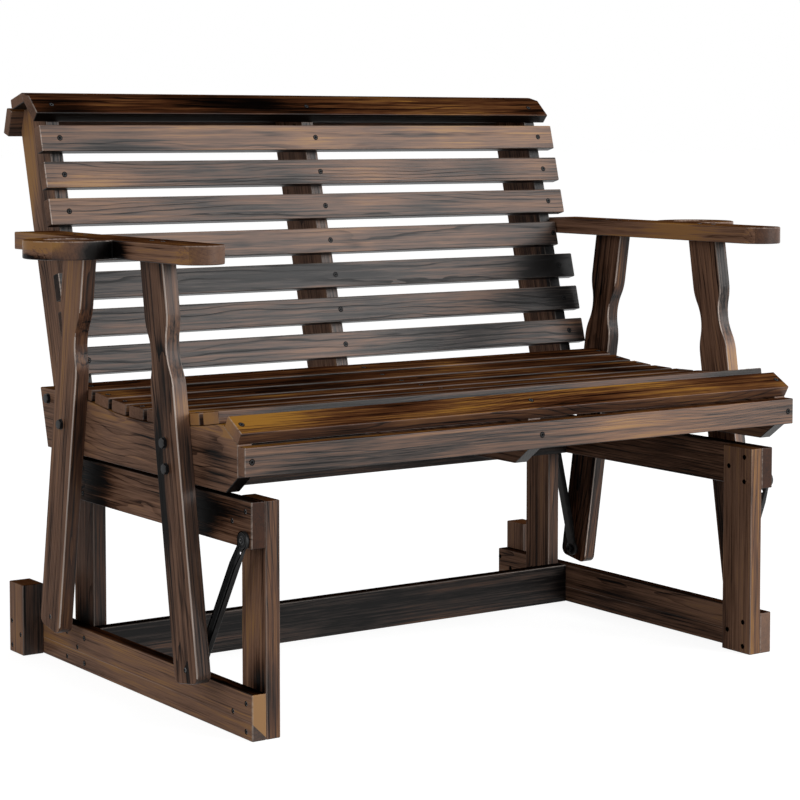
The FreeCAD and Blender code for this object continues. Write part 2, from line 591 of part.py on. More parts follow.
class ArmLeg:
    """A leaning board with a waist, through the lower pivot. turn is 1 if it leans back."""

    def __init__(self, pivot, turn):
        self.pivot = pivot
        self.turn = turn

    def point(self, across, up):
        y = self.pivot[0] + across * math.cos(LEG_LEAN) + self.turn * up * math.sin(LEG_LEAN)
        z = self.pivot[1] + up * math.cos(LEG_LEAN) - self.turn * across * math.sin(LEG_LEAN)
        return y, z

    def up_at(self, z, across=0):
        """Distance up the leg at which the height z is reached."""
        return (z - self.pivot[1] + self.turn * across * math.sin(LEG_LEAN)) / math.cos(LEG_LEAN)

    def bolt_place(self, above_support):
        up = self.up_at(SUPPORT_BOTTOM_Z + above_support, LEG_BOLT_SHIFT)
        return self.point(LEG_BOLT_SHIFT, up)

    def vector(self, across, up):
        y, z = self.point(across, up)
        return V(SUPPORT_OUT_X, y, z)

    def arc(self, start, middle, end):
        points = [self.vector(*corner) for corner in (start, middle, end)]
        return Part.Arc(*points).toShape()

    def line(self, start, end):
        return Part.LineSegment(self.vector(*start), self.vector(*end)).toShape()

    def waist_edges(self, side):
        """Tangent arcs in, round and out of the waist; side is -1 in front, 1 behind."""
        half = LEG_W / 2
        quarter = WAIST_HALF / 2
        centre = self.up_at(ARM_UNDER_Z) - WAIST_DROP
        radius = (quarter ** 2 + (WAIST_DEPTH / 2) ** 2) / WAIST_DEPTH
        turn_half = math.asin(quarter / radius) / 2
        shift = radius * math.sin(turn_half)
        sag = radius * (1 - math.cos(turn_half))
        low = (side * half, centre - WAIST_HALF)
        low_mid = (side * (half - sag), low[1] + shift)
        in_low = (side * (half - WAIST_DEPTH / 2), centre - quarter)
        deep = (side * (half - WAIST_DEPTH), centre)
        in_high = (in_low[0], centre + quarter)
        high_mid = (low_mid[0], centre + WAIST_HALF - shift)
        high = (low[0], centre + WAIST_HALF)
        edges = [self.arc(low, low_mid, in_low), self.arc(in_low, deep, in_high)]
        edges.append(self.arc(in_high, high_mid, high))
        return edges, low, high

    def solid(self):
        half = LEG_W / 2
        top_up = self.up_at(ARM_UNDER_Z) + LEG_W
        edges = []
        for side in (-1, 1):
            waist, low, high = self.waist_edges(side)
            foot = (side * half, LEG_FOOT_R - LEG_FOOT)
            corner = side * (half - LEG_FOOT_R * (1 - math.sqrt(0.5)))
            corner_mid = (corner, -LEG_FOOT + LEG_FOOT_R * (1 - math.sqrt(0.5)))
            sole = (side * (half - LEG_FOOT_R), -LEG_FOOT)
            edges += [self.arc(foot, corner_mid, sole), self.line(foot, low)] + waist
            edges.append(self.line(high, (side * half, top_up)))
        edges.append(self.line((LEG_FOOT_R - half, -LEG_FOOT), (half - LEG_FOOT_R, -LEG_FOOT)))
        edges.append(self.line((-half, top_up), (half, top_up)))
        wire = Part.Wire(Part.__sortEdges__(edges))
        leg = Part.Face(wire).extrude(V(BOARD_T, 0, 0))
        y0 = self.pivot[0] - 2 * LINK_LENGTH
        y1 = self.pivot[0] + 2 * LINK_LENGTH
        above = box(SUPPORT_OUT_X - CUT_OVER, LEG_OUT_X + CUT_OVER, y0, y1, ARM_UNDER_Z, ARM_UNDER_Z + 2 * LEG_W)
        return leg.cut(above)


def armrest():
    """Flat arm with a round front end and a cup holder lobe on its outer edge."""
    in_x = SUPPORT_IN_X
    out_x = in_x + ARM_W
    nose_r = ARM_W / 2
    top_z = ARM_UNDER_Z + ARM_T
    up = V(0, 0, 1)
    board = box(in_x, out_x, ARM_FRONT_Y + nose_r, TOP_RAIL_LENGTH + ARM_TAIL, ARM_UNDER_Z, top_z)
    nose = Part.makeCylinder(nose_r, ARM_T, V(in_x + nose_r, ARM_FRONT_Y + nose_r, ARM_UNDER_Z), up)
    lobe_centre = V(out_x + CUP_LOBE_OUT, ARM_FRONT_Y + CUP_LOBE_BACK, ARM_UNDER_Z)
    lobe = Part.makeCylinder(CUP_LOBE_R, ARM_T, lobe_centre, up)
    hole = Part.makeCylinder(CUP_HOLE_R, ARM_T + 2 * CUT_OVER, lobe_centre - up * CUT_OVER, up)
    return board.fuse([nose, lobe]).removeSplitter().cut(hole)


def hex_bolt(y, z, face_x, nut_face_x):
    head = hexagon_x(y, z, HEX_FLATS, face_x, face_x + HEX_HEAD_H)
    shank = sided_rod_x(y, z, HEX_BOLT_R, BOLT_SIDES, nut_face_x - HEX_NUT_H, face_x)
    return head.fuse(shank)


def hex_nut(y, z, face_x):
    nut = hexagon_x(y, z, HEX_FLATS, face_x - HEX_NUT_H, face_x)
    hole_x = (face_x - HEX_NUT_H - CUT_OVER, face_x + CUT_OVER)
    return nut.cut(sided_rod_x(y, z, HEX_BOLT_R, BOLT_SIDES, *hole_x))


def leg_pivot_hole(y, z):
    """Hole for the shoulder of a lower bolt, with a seat for its sunk head."""
    seat_x = LEG_OUT_X - PIVOT_SUNK_HEAD_H
    head_r = PIVOT_HEAD_R + HOLE_CLEARANCE
    shoulder_r = (PIVOT_BOLT_R + HOLE_CLEARANCE) / math.cos(math.pi / PIVOT_SIDES)
    head = sided_rod_x(y, z, head_r, PIVOT_SIDES, seat_x, LEG_OUT_X + CUT_OVER)
    shoulder = sided_rod_x(y, z, shoulder_r, PIVOT_SIDES, SUPPORT_OUT_X - CUT_OVER, seat_x)
    return head.fuse(shoulder)


def seat_and_arms():
    front_leg = ArmLeg(FRONT_LOWER, 1)
    rear_leg = ArmLeg(REAR_LOWER, -1)
    leg_bolts = [front_leg.bolt_place(up) for up in FRONT_BOLTS_UP]
    leg_bolts += [rear_leg.bolt_place(up) for up in REAR_BOLTS_UP]
    back_bolt = back_point(BACK_BOLT_T, BACK_BOLT_S)

    bolts = [hex_bolt(y, z, LEG_OUT_X, SUPPORT_IN_X) for y, z in leg_bolts]
    bolts.append(hex_bolt(*back_bolt, SUPPORT_OUT_X, BACK_IN_X))
    nuts = [hex_nut(y, z, SUPPORT_IN_X) for y, z in leg_bolts]
    nuts.append(hex_nut(*back_bolt, BACK_IN_X))
    add_group("hex_bolts", bolts)
    add_group("hex_nuts", nuts)

    hole_r = HEX_BOLT_R + HOLE_CLEARANCE
    x0 = BACK_IN_X - CUT_OVER
    x1 = LEG_OUT_X + CUT_OVER
    holes = [sided_rod_x(y, z, hole_r, BOLT_SIDES, x0, x1) for y, z in leg_bolts + [back_bolt]]

    for name, leg in (("front", front_leg), ("rear", rear_leg)):
        add_pair("arm_leg_" + name, drilled(leg.solid(), holes + [leg_pivot_hole(*leg.pivot)]))
    add_pair("armrest", armrest())

    seat_outline = seat_support_outline()
    back_outline = back_support_outline()
    add_pair("seat_support", drilled(prism_x(seat_outline, SUPPORT_IN_X, SUPPORT_OUT_X), holes))
    add_pair("back_support", drilled(prism_x(back_outline, BACK_IN_X, SUPPORT_IN_X), holes))

    # The two middle boards cross in a half lap, each cut to half its thickness.
    half = BOARD_T / 2
    seat_middle = prism_x(seat_outline, -half, half)
    back_middle = prism_x(back_outline, -half, half)
    add("seat_support_middle", seat_middle.cut(prism_x(back_outline, 0, half + CUT_OVER)))
    add("back_support_middle", back_middle.cut(prism_x(seat_outline, -half - CUT_OVER, 0)))


def main():
    base_frame()
    links()
    pivot_bolts()
    seat_boards()
    rear_y = back_boards()
    seat_and_arms()

    front_y = SUPPORT_FRONT_Y - APRON_T
    middle_y = (front_y + rear_y) / 2
    os.makedirs("parts", exist_ok=True)
    for name, shape in pieces.items():
        moved = shape.copy()
        moved.translate(V(0, -middle_y, 0))
        moved.exportStep("parts/" + name + ".step")
    print("pieces", len(pieces), "moved back by", round(middle_y, 4))
    for name, (y, z) in (("front upper", FRONT_UPPER), ("front lower", FRONT_LOWER),
                         ("rear upper", REAR_UPPER), ("rear lower", REAR_LOWER)):
        print(name, "pivot y z", round(y - middle_y, 4), round(z, 4))


main()
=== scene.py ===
"""Looks of a wooden glider bench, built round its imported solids."""

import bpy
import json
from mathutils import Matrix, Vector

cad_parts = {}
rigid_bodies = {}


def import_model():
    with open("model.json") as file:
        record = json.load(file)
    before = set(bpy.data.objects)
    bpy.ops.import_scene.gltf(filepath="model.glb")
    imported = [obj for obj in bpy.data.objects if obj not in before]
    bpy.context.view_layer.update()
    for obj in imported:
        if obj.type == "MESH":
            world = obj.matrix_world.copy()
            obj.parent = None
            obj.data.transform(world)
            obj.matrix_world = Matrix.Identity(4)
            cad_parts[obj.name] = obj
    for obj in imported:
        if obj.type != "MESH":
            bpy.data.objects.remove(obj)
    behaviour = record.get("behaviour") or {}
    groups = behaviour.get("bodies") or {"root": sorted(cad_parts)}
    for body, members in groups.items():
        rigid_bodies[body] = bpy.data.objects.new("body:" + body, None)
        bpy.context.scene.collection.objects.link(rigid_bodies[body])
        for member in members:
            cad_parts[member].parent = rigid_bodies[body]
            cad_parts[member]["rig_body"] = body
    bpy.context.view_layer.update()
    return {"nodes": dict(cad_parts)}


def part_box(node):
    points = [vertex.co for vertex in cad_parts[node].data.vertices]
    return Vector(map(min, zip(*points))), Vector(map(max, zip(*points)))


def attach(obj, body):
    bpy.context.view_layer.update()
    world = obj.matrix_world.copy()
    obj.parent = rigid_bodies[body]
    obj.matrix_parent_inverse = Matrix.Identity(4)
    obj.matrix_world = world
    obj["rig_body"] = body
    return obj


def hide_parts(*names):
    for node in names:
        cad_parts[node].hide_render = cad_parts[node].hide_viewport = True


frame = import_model()

import json
import math
import random

import bmesh
import bpy
import numpy
from mathutils import Vector
from mathutils.geometry import tessellate_polygon

bl_info = {
    "name": "Glider Bench Dresser",
    "version": (1, 0, 0),
    "blender": (4, 5, 0),
    "location": "View3D > Sidebar > Bench",
    "description": "Builds the boards, hardware and studio of a wooden glider bench",
    "category": "Object",
}

AXES = {"x": 0, "y": 1, "z": 2}
SIDES = ((-1, "left"), (1, "right"))
PLANE = 1e-5          # metres within which a point lies on a face
TOP_LEAN = 0.60       # upward share of the normal from which a face counts as a top
MM = 0.001
GRAIN_SEED = 11       # which part of the log each board comes from
BIG_HOLE = 200 * MM   # length round a board's opening, from which it is more than a bolt's hole
SCRIBE_HALF = 0.4 * MM
SCREW_SIDES = 32
END_STEPS = 3         # flats round the end edges of a slat
LINK_RAMP = 26 * MM   # length over which a link's rim rises from its upper cup
BEARING_HALF = 2.25 * MM
BENCH_MIDDLE = (0, 0, 0.4)
SHADE_BLACK = (0.001, 0.001, 0.001)
# How strongly each noise of the wood makes it lighter or darker, and how light it is in all.
CLOUD, STREAK, FIBRE, LIGHTNESS = 1.0, 1.15, 0.50, 0.11


# Sizes and colours

def number(name, default, description, **settings):
    return bpy.props.FloatProperty(name=name, default=default, description=description, **settings)


def length(name, default, description):
    return number(name, default, description, min=0.0, precision=5, unit="LENGTH")


def share(name, default, description, high=1.0):
    return number(name, default, description, min=0.0, max=high, subtype="FACTOR")


def colour(name, default, description):
    return bpy.props.FloatVectorProperty(
        name=name, default=default, size=3, min=0.0, max=1.0, subtype="COLOR",
        description=description)


def count(name, default, description, low):
    return bpy.props.IntProperty(name=name, default=default, min=low, description=description)


class BenchBoards(bpy.types.PropertyGroup):
    edge: length("Edge radius", 1.6 * MM, "Rounding of the boards' edges")
    slice: length("Slice", 12.0 * MM, "Distance between the cross cuts of a board's mesh")
    edge_steps: count("Edge steps", 3, "Flats round each eased edge", 1)


class BenchStain(bpy.types.PropertyGroup):
    char: colour("Char", (0.002, 0.0012, 0.001), "Scorched places on varnished tops")
    umber: colour("Umber", (0.012, 0.005, 0.0025), "Dark places on varnished tops")
    brown: colour("Brown", (0.060, 0.020, 0.0078), "Main colour of varnished tops")
    tan: colour("Tan", (0.135, 0.056, 0.020), "Light places on varnished tops")
    honey: colour("Honey", (0.33, 0.155, 0.028), "Places on tops that the flame missed")
    # Upright faces get a paler, greyer palette: partly their own colour, partly painted light on faces that
    # look forward.
    soot: colour("Soot", (0.006, 0.0052, 0.005), "Scorched places on upright faces")
    slate: colour("Slate", (0.064, 0.053, 0.048), "Grey places on upright faces")
    mauve: colour("Mauve", (0.165, 0.104, 0.079), "Main colour of upright faces")
    fawn: colour("Fawn", (0.27, 0.157, 0.103), "Light places on upright faces")
    amber: colour("Amber", (0.40, 0.225, 0.105), "Places on upright faces that the flame missed")
    bistre: colour("Bistre", (0.062, 0.027, 0.0145), "Dark places on sides")
    russet: colour("Russet", (0.192, 0.099, 0.060), "Main colour of sides")
    copper: colour("Copper", (0.275, 0.150, 0.096), "Light places on sides")
    ochre: colour("Ochre", (0.41, 0.210, 0.082), "Places on sides that the flame missed")
    # Edges lightened: rubbed wood and painted highlight together.
    rubbed: colour("Rubbed", (0.66, 0.55, 0.48), "Edges rubbed bare")
    ring: length("Ring width", 4.6 * MM, "Distance between the year rings")
    specular: share("Varnish", 0.17, "Strength of the varnish's reflection on fronts")
    side_specular: share("Side varnish", 0.02, "Strength of the varnish's reflection on sides")
    roughness: share("Roughness", 0.36, "Roughness of the varnish")


class BenchHardware(bpy.types.PropertyGroup):
    black: colour("Black", (0.012, 0.012, 0.013), "Coated bolts, nuts and screws")
    link: colour("Link", (0.026, 0.026, 0.0265), "Coated swing links")
    bearing: colour("Bearing", (0.011, 0.011, 0.0115), "Rings of the bearings")
    # Rubbed rims and painted highlights on the coated hardware.
    bright: colour("Bright", (0.30, 0.30, 0.30), "Rims where the coating has worn off")
    screw_r: length("Screw head", 4.4 * MM, "Radius of a wood screw's head")
    hex_flats: length("Hexagon", 13.0 * MM, "Size of the large bolts across the flats")
    cap_flats: length("Cap nut", 8.0 * MM, "Size of the cap nuts across the flats")
    bolt_r: length("Bolt head", 3.3 * MM, "Radius of a frame bolt's head")
    pocket_r: length("Bolt pocket", 3.8 * MM, "Radius of the pocket that a frame bolt's head sits in")
    cup_r: length("Link cup", 12.5 * MM, "Outside radius of a link's bearing cups")
    cup_depth: length("Link cup depth", 5.5 * MM, "Height of a bearing cup's wall")
    channel: length("Link width", 16.0 * MM, "Width of a link between its cups")
    flange: length("Link flange", 8.5 * MM, "Height of a link's flanges")
    round_steps: count("Round steps", 24, "Sides of the small round pieces", 6)


class BenchStage(bpy.types.PropertyGroup):
    floor: colour("Floor", (0.36, 0.36, 0.36), "Studio floor, as it lights the bench")
    sky: share("Sky", 0.38, "Strength of the even light from all round", 4.0)
    key: number("Key light", 135.0, "Large soft lamp in front", min=0.0, unit="POWER")
    fill: number("Fill light", 18.0, "Weaker soft lamps", min=0.0, unit="POWER")
    lens: number("Lens", 102.878, "Focal length", min=1.0, unit="CAMERA")
    shift: number("Shift", -0.15, "Vertical shift of the lens")
    place: bpy.props.FloatVectorProperty(
        name="Camera place", default=(-2.00266, -2.92648, 0.81206), size=3, subtype="XYZ",
        unit="LENGTH", description="Where the camera stands")
    azimuth: number("Azimuth", math.radians(-34.464), "Turn of the camera about the upright",
                    subtype="ANGLE")
    pitch: number("Pitch", math.radians(3.734), "How far the camera looks down", subtype="ANGLE")


# Node trees

class Field:
    """A node's output that formulas can be written with."""

    def __init__(self, wiring, socket):
        self.wiring, self.socket = wiring, socket

    def __add__(self, other):
        return self.wiring.math("ADD", self, other)

    def __sub__(self, other):
        return self.wiring.math("SUBTRACT", self, other)

    def __mul__(self, other):
        return self.wiring.math("MULTIPLY", self, other)

    def __truediv__(self, other):
        return self.wiring.math("DIVIDE", self, other)

    def __abs__(self):
        return self.wiring.math("ABSOLUTE", self)


class Wiring:
    """Adds nodes to a tree and joins them."""

    def __init__(self, tree):
        self.tree = tree

    def feed(self, node, key, value):
        """Joins an input of a node to a field, or sets it."""
        if isinstance(value, Field):
            self.tree.links.new(value.socket, node.inputs[key])
        else:
            node.inputs[key].default_value = value

    def node(self, kind, inputs=None, **settings):
        made = self.tree.nodes.new(kind)
        for name, value in settings.items():
            setattr(made, name, value)
        for key, value in (inputs or {}).items():
            self.feed(made, key, value)
        return made

    def out(self, kind, inputs=None, output=0, **settings):
        """Adds a node and gives one of its outputs."""
        return Field(self, self.node(kind, inputs, **settings).outputs[output])

    def math(self, kind, *values):
        return self.out("ShaderNodeMath", dict(enumerate(values)), operation=kind)

    def vector(self, kind, first, second):
        return self.out("ShaderNodeVectorMath", {0: first, 1: second}, operation=kind)

    def join(self, x, y, z):
        return self.out("ShaderNodeCombineXYZ", {0: x, 1: y, 2: z})

    def split(self, vector):
        parts = self.node("ShaderNodeSeparateXYZ", {0: vector}).outputs
        return [Field(self, socket) for socket in parts]

    def attribute(self, name, output="Fac"):
        return self.out("ShaderNodeAttribute", None, output, attribute_name=name)

    def noise(self, vector, scale, detail=2.0, roughness=0.5):
        values = {"Vector": vector, "Scale": scale, "Detail": detail, "Roughness": roughness}
        return self.out("ShaderNodeTexNoise", values, "Fac")

    def span(self, value, low, high, to_low=0.0, to_high=1.0):
        """Smoothly turns low to high into to_low to to_high."""
        values = {"Value": value, "From Min": low, "From Max": high,
                  "To Min": to_low, "To Max": to_high}
        return self.out("ShaderNodeMapRange", values, "Result", interpolation_type="SMOOTHSTEP")

    def ramp(self, factor, places, colours):
        """Five or so colours at their places along a scale."""
        made = self.node("ShaderNodeValToRGB", {"Fac": factor})
        scale = made.color_ramp.elements
        for i, (place, tint) in enumerate(zip(places, colours)):
            stop = scale[0] if i == 0 else scale[-1] if i == len(places) - 1 else scale.new(place)
            stop.position = place
            stop.color = rgba(tint)
        return Field(self, made.outputs["Color"])

    def blend(self, factor, first, second):
        return self.out("ShaderNodeMix", {0: factor, 6: first, 7: second}, 2, data_type="RGBA")

    def bump(self, height, strength, distance):
        return self.out("ShaderNodeBump", {"Height": height, "Strength": strength, "Distance": distance})

    def shown(self):
        """1 where the camera, gloss or a clear surface looks, and 0 for the light on the bench."""
        seen = self.node("ShaderNodeLightPath").outputs
        camera, glossy, clear = (Field(self, seen["Is %s Ray" % way])
                                 for way in ("Camera", "Glossy", "Transmission"))
        return self.math("MAXIMUM", camera, self.math("MAXIMUM", glossy, clear))


def rgba(values):
    return (*values, 1.0)


def new_material(name):
    material = bpy.data.materials.new(name)
    material.use_nodes = True
    wiring = Wiring(material.node_tree)
    shader = material.node_tree.nodes["Principled BSDF"]
    return material, wiring, shader


# Materials

def scorched_wood(name, stain, hues, specular, roughness):
    """Stained softwood with flame marks that follows each board's own grain."""
    material, w, shader = new_material(name)
    u, v, d = w.split(w.attribute("grain", "Vector"))
    tone, worn, ash, sawn = (w.attribute(title) for title in ("tone", "worn", "ash", "sawn"))

    def stretched(along, across, detail=2.0, rough=0.5):
        return w.noise(w.join(u * along, v * across, d * across), 1.0, detail, rough)

    bent = v + w.span(stretched(1.8, 7.0), 0.25, 0.75, -0.012, 0.012)
    rings = w.math("SQRT", bent * bent + d * d) / stain.ring + stretched(7.0, 45.0) * 1.6
    late = w.span(w.math("FRACT", rings), 0.70, 0.97)
    line = late * w.span(stretched(2.0, 60.0), 0.38, 0.62, 0.2, 1.0)
    streak = stretched(3.4, 170.0, 3.0, 0.65)
    hair = w.span(stretched(6.0, 430.0, 2.0, 0.6), 0.54, 0.70)
    fibre = stretched(26.0, 850.0, 2.0, 0.6)
    cloud = stretched(4.2, 18.0, 3.0, 0.5)

    light = cloud * CLOUD + streak * STREAK + fibre * FIBRE - (line * 0.30 + hair * 0.25)
    light = (light + (LIGHTNESS - (CLOUD + STREAK + FIBRE) / 2)) * w.span(sawn, 0.0, 1.0, 1.0, 0.25)
    # The tone lightens golden patches and darkens scorched ones, and also carries painted shade on
    # undersides, bolt pockets and shaded faces.
    light = light + sawn * 0.05 + 0.5 + tone * 0.5
    deep = w.ramp(light, (0.08, 0.27, 0.50, 0.70, 0.95), hues)
    # The paler grey palette of upright faces, partly painted light.
    upright_grey_and_light_ramp = w.ramp(light, (0.05, 0.28, 0.50, 0.72, 0.95),
                   (stain.soot, stain.slate, stain.mauve, stain.fawn, stain.amber))
    base = w.blend(ash, deep, upright_grey_and_light_ramp)
    # Lightened edges: rubbed wood and painted highlight together.
    bare = worn * w.span(streak, 0.35, 0.6, 0.25, 0.9)
    w.feed(shader, "Base Color", w.blend(bare, base, rgba(stain.rubbed)))
    w.feed(shader, "Roughness", fibre * 0.16 + line * 0.12 + (roughness - 0.10))
    w.feed(shader, "Specular IOR Level", specular)
    height = (fibre * 0.5 - line * 0.8 + streak * 0.5) * w.span(sawn, 0.0, 1.0, 1.0, 0.2)
    w.feed(shader, "Normal", w.bump(height, 0.4, 0.5 * MM))
    return material


def coated_steel(name, tint, bright, roughness, specular):
    """Black coated steel with a fine orange-peel texture, rims lightened as rubbed coating and painted
    highlight, and faces painted black as shade, in recesses and on the links' rims.
    """
    material, w, shader = new_material(name)
    at = w.out("ShaderNodeTexCoord", None, "Object")
    wear = w.attribute("wear")
    cloud = w.noise(at, 60.0, 3.0)
    rubbed = [min(1.0, value * 2.2 + 0.01) for value in tint]
    base = w.blend(w.span(cloud, 0.50, 0.80, 0.0, 0.8), rgba(tint), rgba(rubbed))
    # Faces marked above 0 are lightened: rubbed coating and painted highlight together.
    base = w.blend(w.span(wear, 0.0, 1.0) * w.span(cloud, 0.3, 0.6, 0.5, 1.0), base, rgba(bright))
    # Faces marked below 0 are painted black as shade.
    base = w.blend(w.span(wear, -1.0, 0.0, 1.0, 0.0), base, rgba(SHADE_BLACK))
    w.feed(shader, "Base Color", base)
    w.feed(shader, "Roughness", cloud * 0.25 + (roughness - 0.12))
    w.feed(shader, "Specular IOR Level", specular)
    w.feed(shader, "Normal", w.bump(w.noise(at, 1400.0, 2.0), 0.25, 0.1 * MM))
    return material


FINISHES = {}


def new_finish(name, stain, hardware):
    """Makes the finish that a slot's name asks for."""
    varnish = (stain.char, stain.umber, stain.brown, stain.tan, stain.honey)
    side = (stain.char, stain.bistre, stain.russet, stain.copper, stain.ochre)
    woods = {"stained_wood": ("scorched_upright", stain, varnish, stain.specular, stain.roughness),
             "stained_top": ("scorched_top", stain, varnish, 0.0, 0.75),
             "stained_side": ("scorched_side", stain, side, stain.side_specular, stain.roughness)}
    steels = {"black_steel": ("link_coat", hardware.link, hardware.bright, 0.50, 0.22),
              "bearing_steel": ("bearing_coat", hardware.bearing, hardware.bright, 0.40, 0.06),
              # Black without gloss: painted shade in recesses and on the links' rims.
              "recess": ("dark_recess", SHADE_BLACK, hardware.black, 0.80, 0.0),
              "black_hardware": ("hardware_coat", hardware.black, hardware.bright, 0.34, 0.10)}
    return scorched_wood(*woods[name]) if name in woods else coated_steel(*steels[name])


def material_of(name):
    """The finish of that name, made the first time it is asked for."""
    if name not in FINISHES:
        scene = bpy.context.scene
        FINISHES[name] = new_finish(name, scene.bench_stain, scene.bench_hardware)
    return FINISHES[name]


# Meshes

def link_object(name, mesh):
    made = bpy.data.objects.new(name, mesh)
    bpy.context.scene.collection.objects.link(made)
    return made


def face_loops(node, axis, high):
    """Outlines of a CAD board on its low or high face, longest first, as point pairs."""
    mesh = frame["nodes"][node].data
    a, b = [i for i in range(3) if i != axis]
    places = [vertex.co for vertex in mesh.vertices]
    end = max(p[axis] for p in places) if high else min(p[axis] for p in places)
    key = lambda p: (round(p[a], 5), round(p[b], 5))
    edges = set()
    for polygon in mesh.polygons:
        corners = [places[i] for i in polygon.vertices]
        if all(abs(p[axis] - end) < PLANE for p in corners):
            names = [key(p) for p in corners]
            for i, first in enumerate(names):
                edges.add((first, names[(i + 1) % len(names)]))
    follow = {first: second for first, second in edges if (second, first) not in edges}
    loops = []
    while follow:
        start, place = follow.popitem()
        loop = [start]
        while place != start:
            loop.append(place)
            place = follow.pop(place)
        loops.append(loop)
    loops.sort(key=lambda loop: -ring_length(loop))
    return loops


def ring_length(loop):
    return sum(math.dist(p, loop[i - 1]) for i, p in enumerate(loop))


def turned_ccw(loop):
    area = sum(loop[i - 1][0] * p[1] - p[0] * loop[i - 1][1] for i, p in enumerate(loop))
    return loop if area > 0 else loop[::-1]


def without_straights(loop):
    """Drops points in the middle of a straight run."""
    kept = []
    for i, p in enumerate(loop):
        before, after = loop[i - 1], loop[(i + 1) % len(loop)]
        cross = (p[0] - before[0]) * (after[1] - p[1]) - (p[1] - before[1]) * (after[0] - p[0])
        if abs(cross) > 2e-9:
            kept.append(p)
    return kept


def inset_loop(loop, distance):
    """Moves a counter-clockwise outline inwards; a clockwise one is a hole and grows.
    The distance is one number, or one for each point."""
    moved = []
    for i, p in enumerate(loop):
        before, after = loop[i - 1], loop[(i + 1) % len(loop)]
        first = Vector((p[0] - before[0], p[1] - before[1])).normalized()
        second = Vector((after[0] - p[0], after[1] - p[1])).normalized()
        normal = Vector((-first.y - second.y, first.x + second.x)).normalized()
        lean = max(0.5, normal.dot(Vector((-first.y, first.x))))
        step = (distance[i] if hasattr(distance, "__len__") else distance) / lean
        moved.append((p[0] + normal.x * step, p[1] + normal.y * step))
    return moved


class Blank:
    """A board being made: its mesh, with faces tagged flat, eased or bored."""

    def __init__(self, axis):
        self.bm = bmesh.new()
        self.kind = self.bm.faces.layers.int.new("kind")
        self.axis = axis
        self.plane = [i for i in range(3) if i != axis]

    def place(self, pair, along):
        point = [0.0, 0.0, 0.0]
        point[self.axis] = along
        point[self.plane[0]], point[self.plane[1]] = pair
        return self.bm.verts.new(point)

    def ring(self, loop, along):
        return [self.place(pair, along) for pair in loop]

    def wall(self, first, second, kind):
        for i in range(len(first)):
            face = self.bm.faces.new((first[i - 1], first[i], second[i], second[i - 1]))
            face[self.kind] = kind

    def cap(self, rings, kind):
        """Closes a face bounded by an outer ring and the rings of its holes."""
        flat = [v for ring in rings for v in ring]
        pairs = [[Vector((v.co[self.plane[0]], v.co[self.plane[1]], 0)) for v in ring] for ring in rings]
        for corners in tessellate_polygon(pairs):
            face = self.bm.faces.new([flat[i] for i in corners])
            face[self.kind] = kind


def round_hole(pair, radius, sides=20):
    return [(pair[0] + radius * math.cos(math.tau * i / sides),
             pair[1] - radius * math.sin(math.tau * i / sides)) for i in range(sides)]


def bend(level, steps=3):
    """Height (from 0 to 1) and inset (from 1 to 0) of a step of a quarter round."""
    angle = math.pi / 2 * level / steps
    return 1 - math.cos(angle), 1 - math.sin(angle)


def ease_rings(blank, loops, low, high, edge, steps):
    """Rings of an outline whose rims are eased at both ends of its thickness."""
    stack = []
    for end, sign in ((low, 1), (high, -1)):
        rings = []
        for step in range(steps + 1):
            height, inset = bend(step, steps)
            along = end + sign * edge * height
            rings.append([blank.ring(inset_loop(loop, edge * inset), along) for loop in loops])
        stack.append(rings)
    return stack[0] + stack[1][::-1]


def plate(loops, axis, low, high, edge, steps, pockets=()):
    """A board cut from a plate: outline, through holes, eased rims and bolt pockets.
    A pocket is (pair, radius, depth, True on the high face)."""
    blank = Blank(axis)
    outline = [without_straights(turned_ccw(loops[0]))]
    outline += [turned_ccw(loop)[::-1] for loop in loops[1:]]
    outline = [rounded_corners(loop, edge, steps) for loop in outline[:1]] + outline[1:]
    stack = ease_rings(blank, outline, low, high, edge, steps)
    for level in range(len(stack) - 1):
        kind = 1 if level == steps else 0
        for first, second in zip(stack[level], stack[level + 1]):
            blank.wall(first, second, kind)
    for on_high, rings, along in ((False, stack[0], low), (True, stack[-1], high)):
        holes = []
        for pair, radius, depth, at_high in pockets:
            if at_high == on_high:
                sunk = along - depth if on_high else along + depth
                mouth = blank.ring(round_hole(pair, radius), along)
                floor = blank.ring(round_hole(pair, radius * 0.96), sunk)
                blank.wall(mouth, floor, 2)
                face = blank.bm.faces.new(floor)
                face[blank.kind] = 2
                holes.append(mouth)
        blank.cap(rings + holes, 1)
    return blank


def rounded_corners(loop, radius, steps):
    """Rounds the sharp corners of an outline; arcs made of many short runs stay."""
    made = []
    for i, p in enumerate(loop):
        before, after = Vector(loop[i - 1]), Vector(loop[(i + 1) % len(loop)])
        here = Vector(p)
        first, second = here - before, after - here
        turn = first.angle_signed(second, 0.0)
        if abs(turn) < math.radians(16):
            made.append(tuple(here))
            continue
        cut = min(radius * math.tan(abs(turn) / 2), first.length * 0.4, second.length * 0.4)
        start = here - first.normalized() * cut
        end = here + second.normalized() * cut
        for step in range(steps + 1):
            t = step / steps
            near = start.lerp(here, t).lerp(here.lerp(end, t), t)
            made.append(tuple(near))
    return made


def cut_across(bm, place, normal):
    """Cuts the whole mesh along a plane."""
    bmesh.ops.bisect_plane(bm, geom=bm.verts[:] + bm.edges[:] + bm.faces[:], dist=1e-7,
                           plane_co=place, plane_no=normal)


def slice_up(bm, gap):
    """Cuts the mesh across each axis, so that its colours have points to sit on."""
    for axis in range(3):
        places = [v.co[axis] for v in bm.verts]
        low, high = min(places), max(places)
        parts = int((high - low) / gap)
        normal = unit(axis)
        for i in range(1, parts):
            cut_across(bm, normal * (low + (high - low) * i / parts), normal)


def mesh_of(bm, name):
    bmesh.ops.recalc_face_normals(bm, faces=bm.faces)
    mesh = bpy.data.meshes.new(name)
    bm.to_mesh(mesh)
    bm.free()
    return mesh


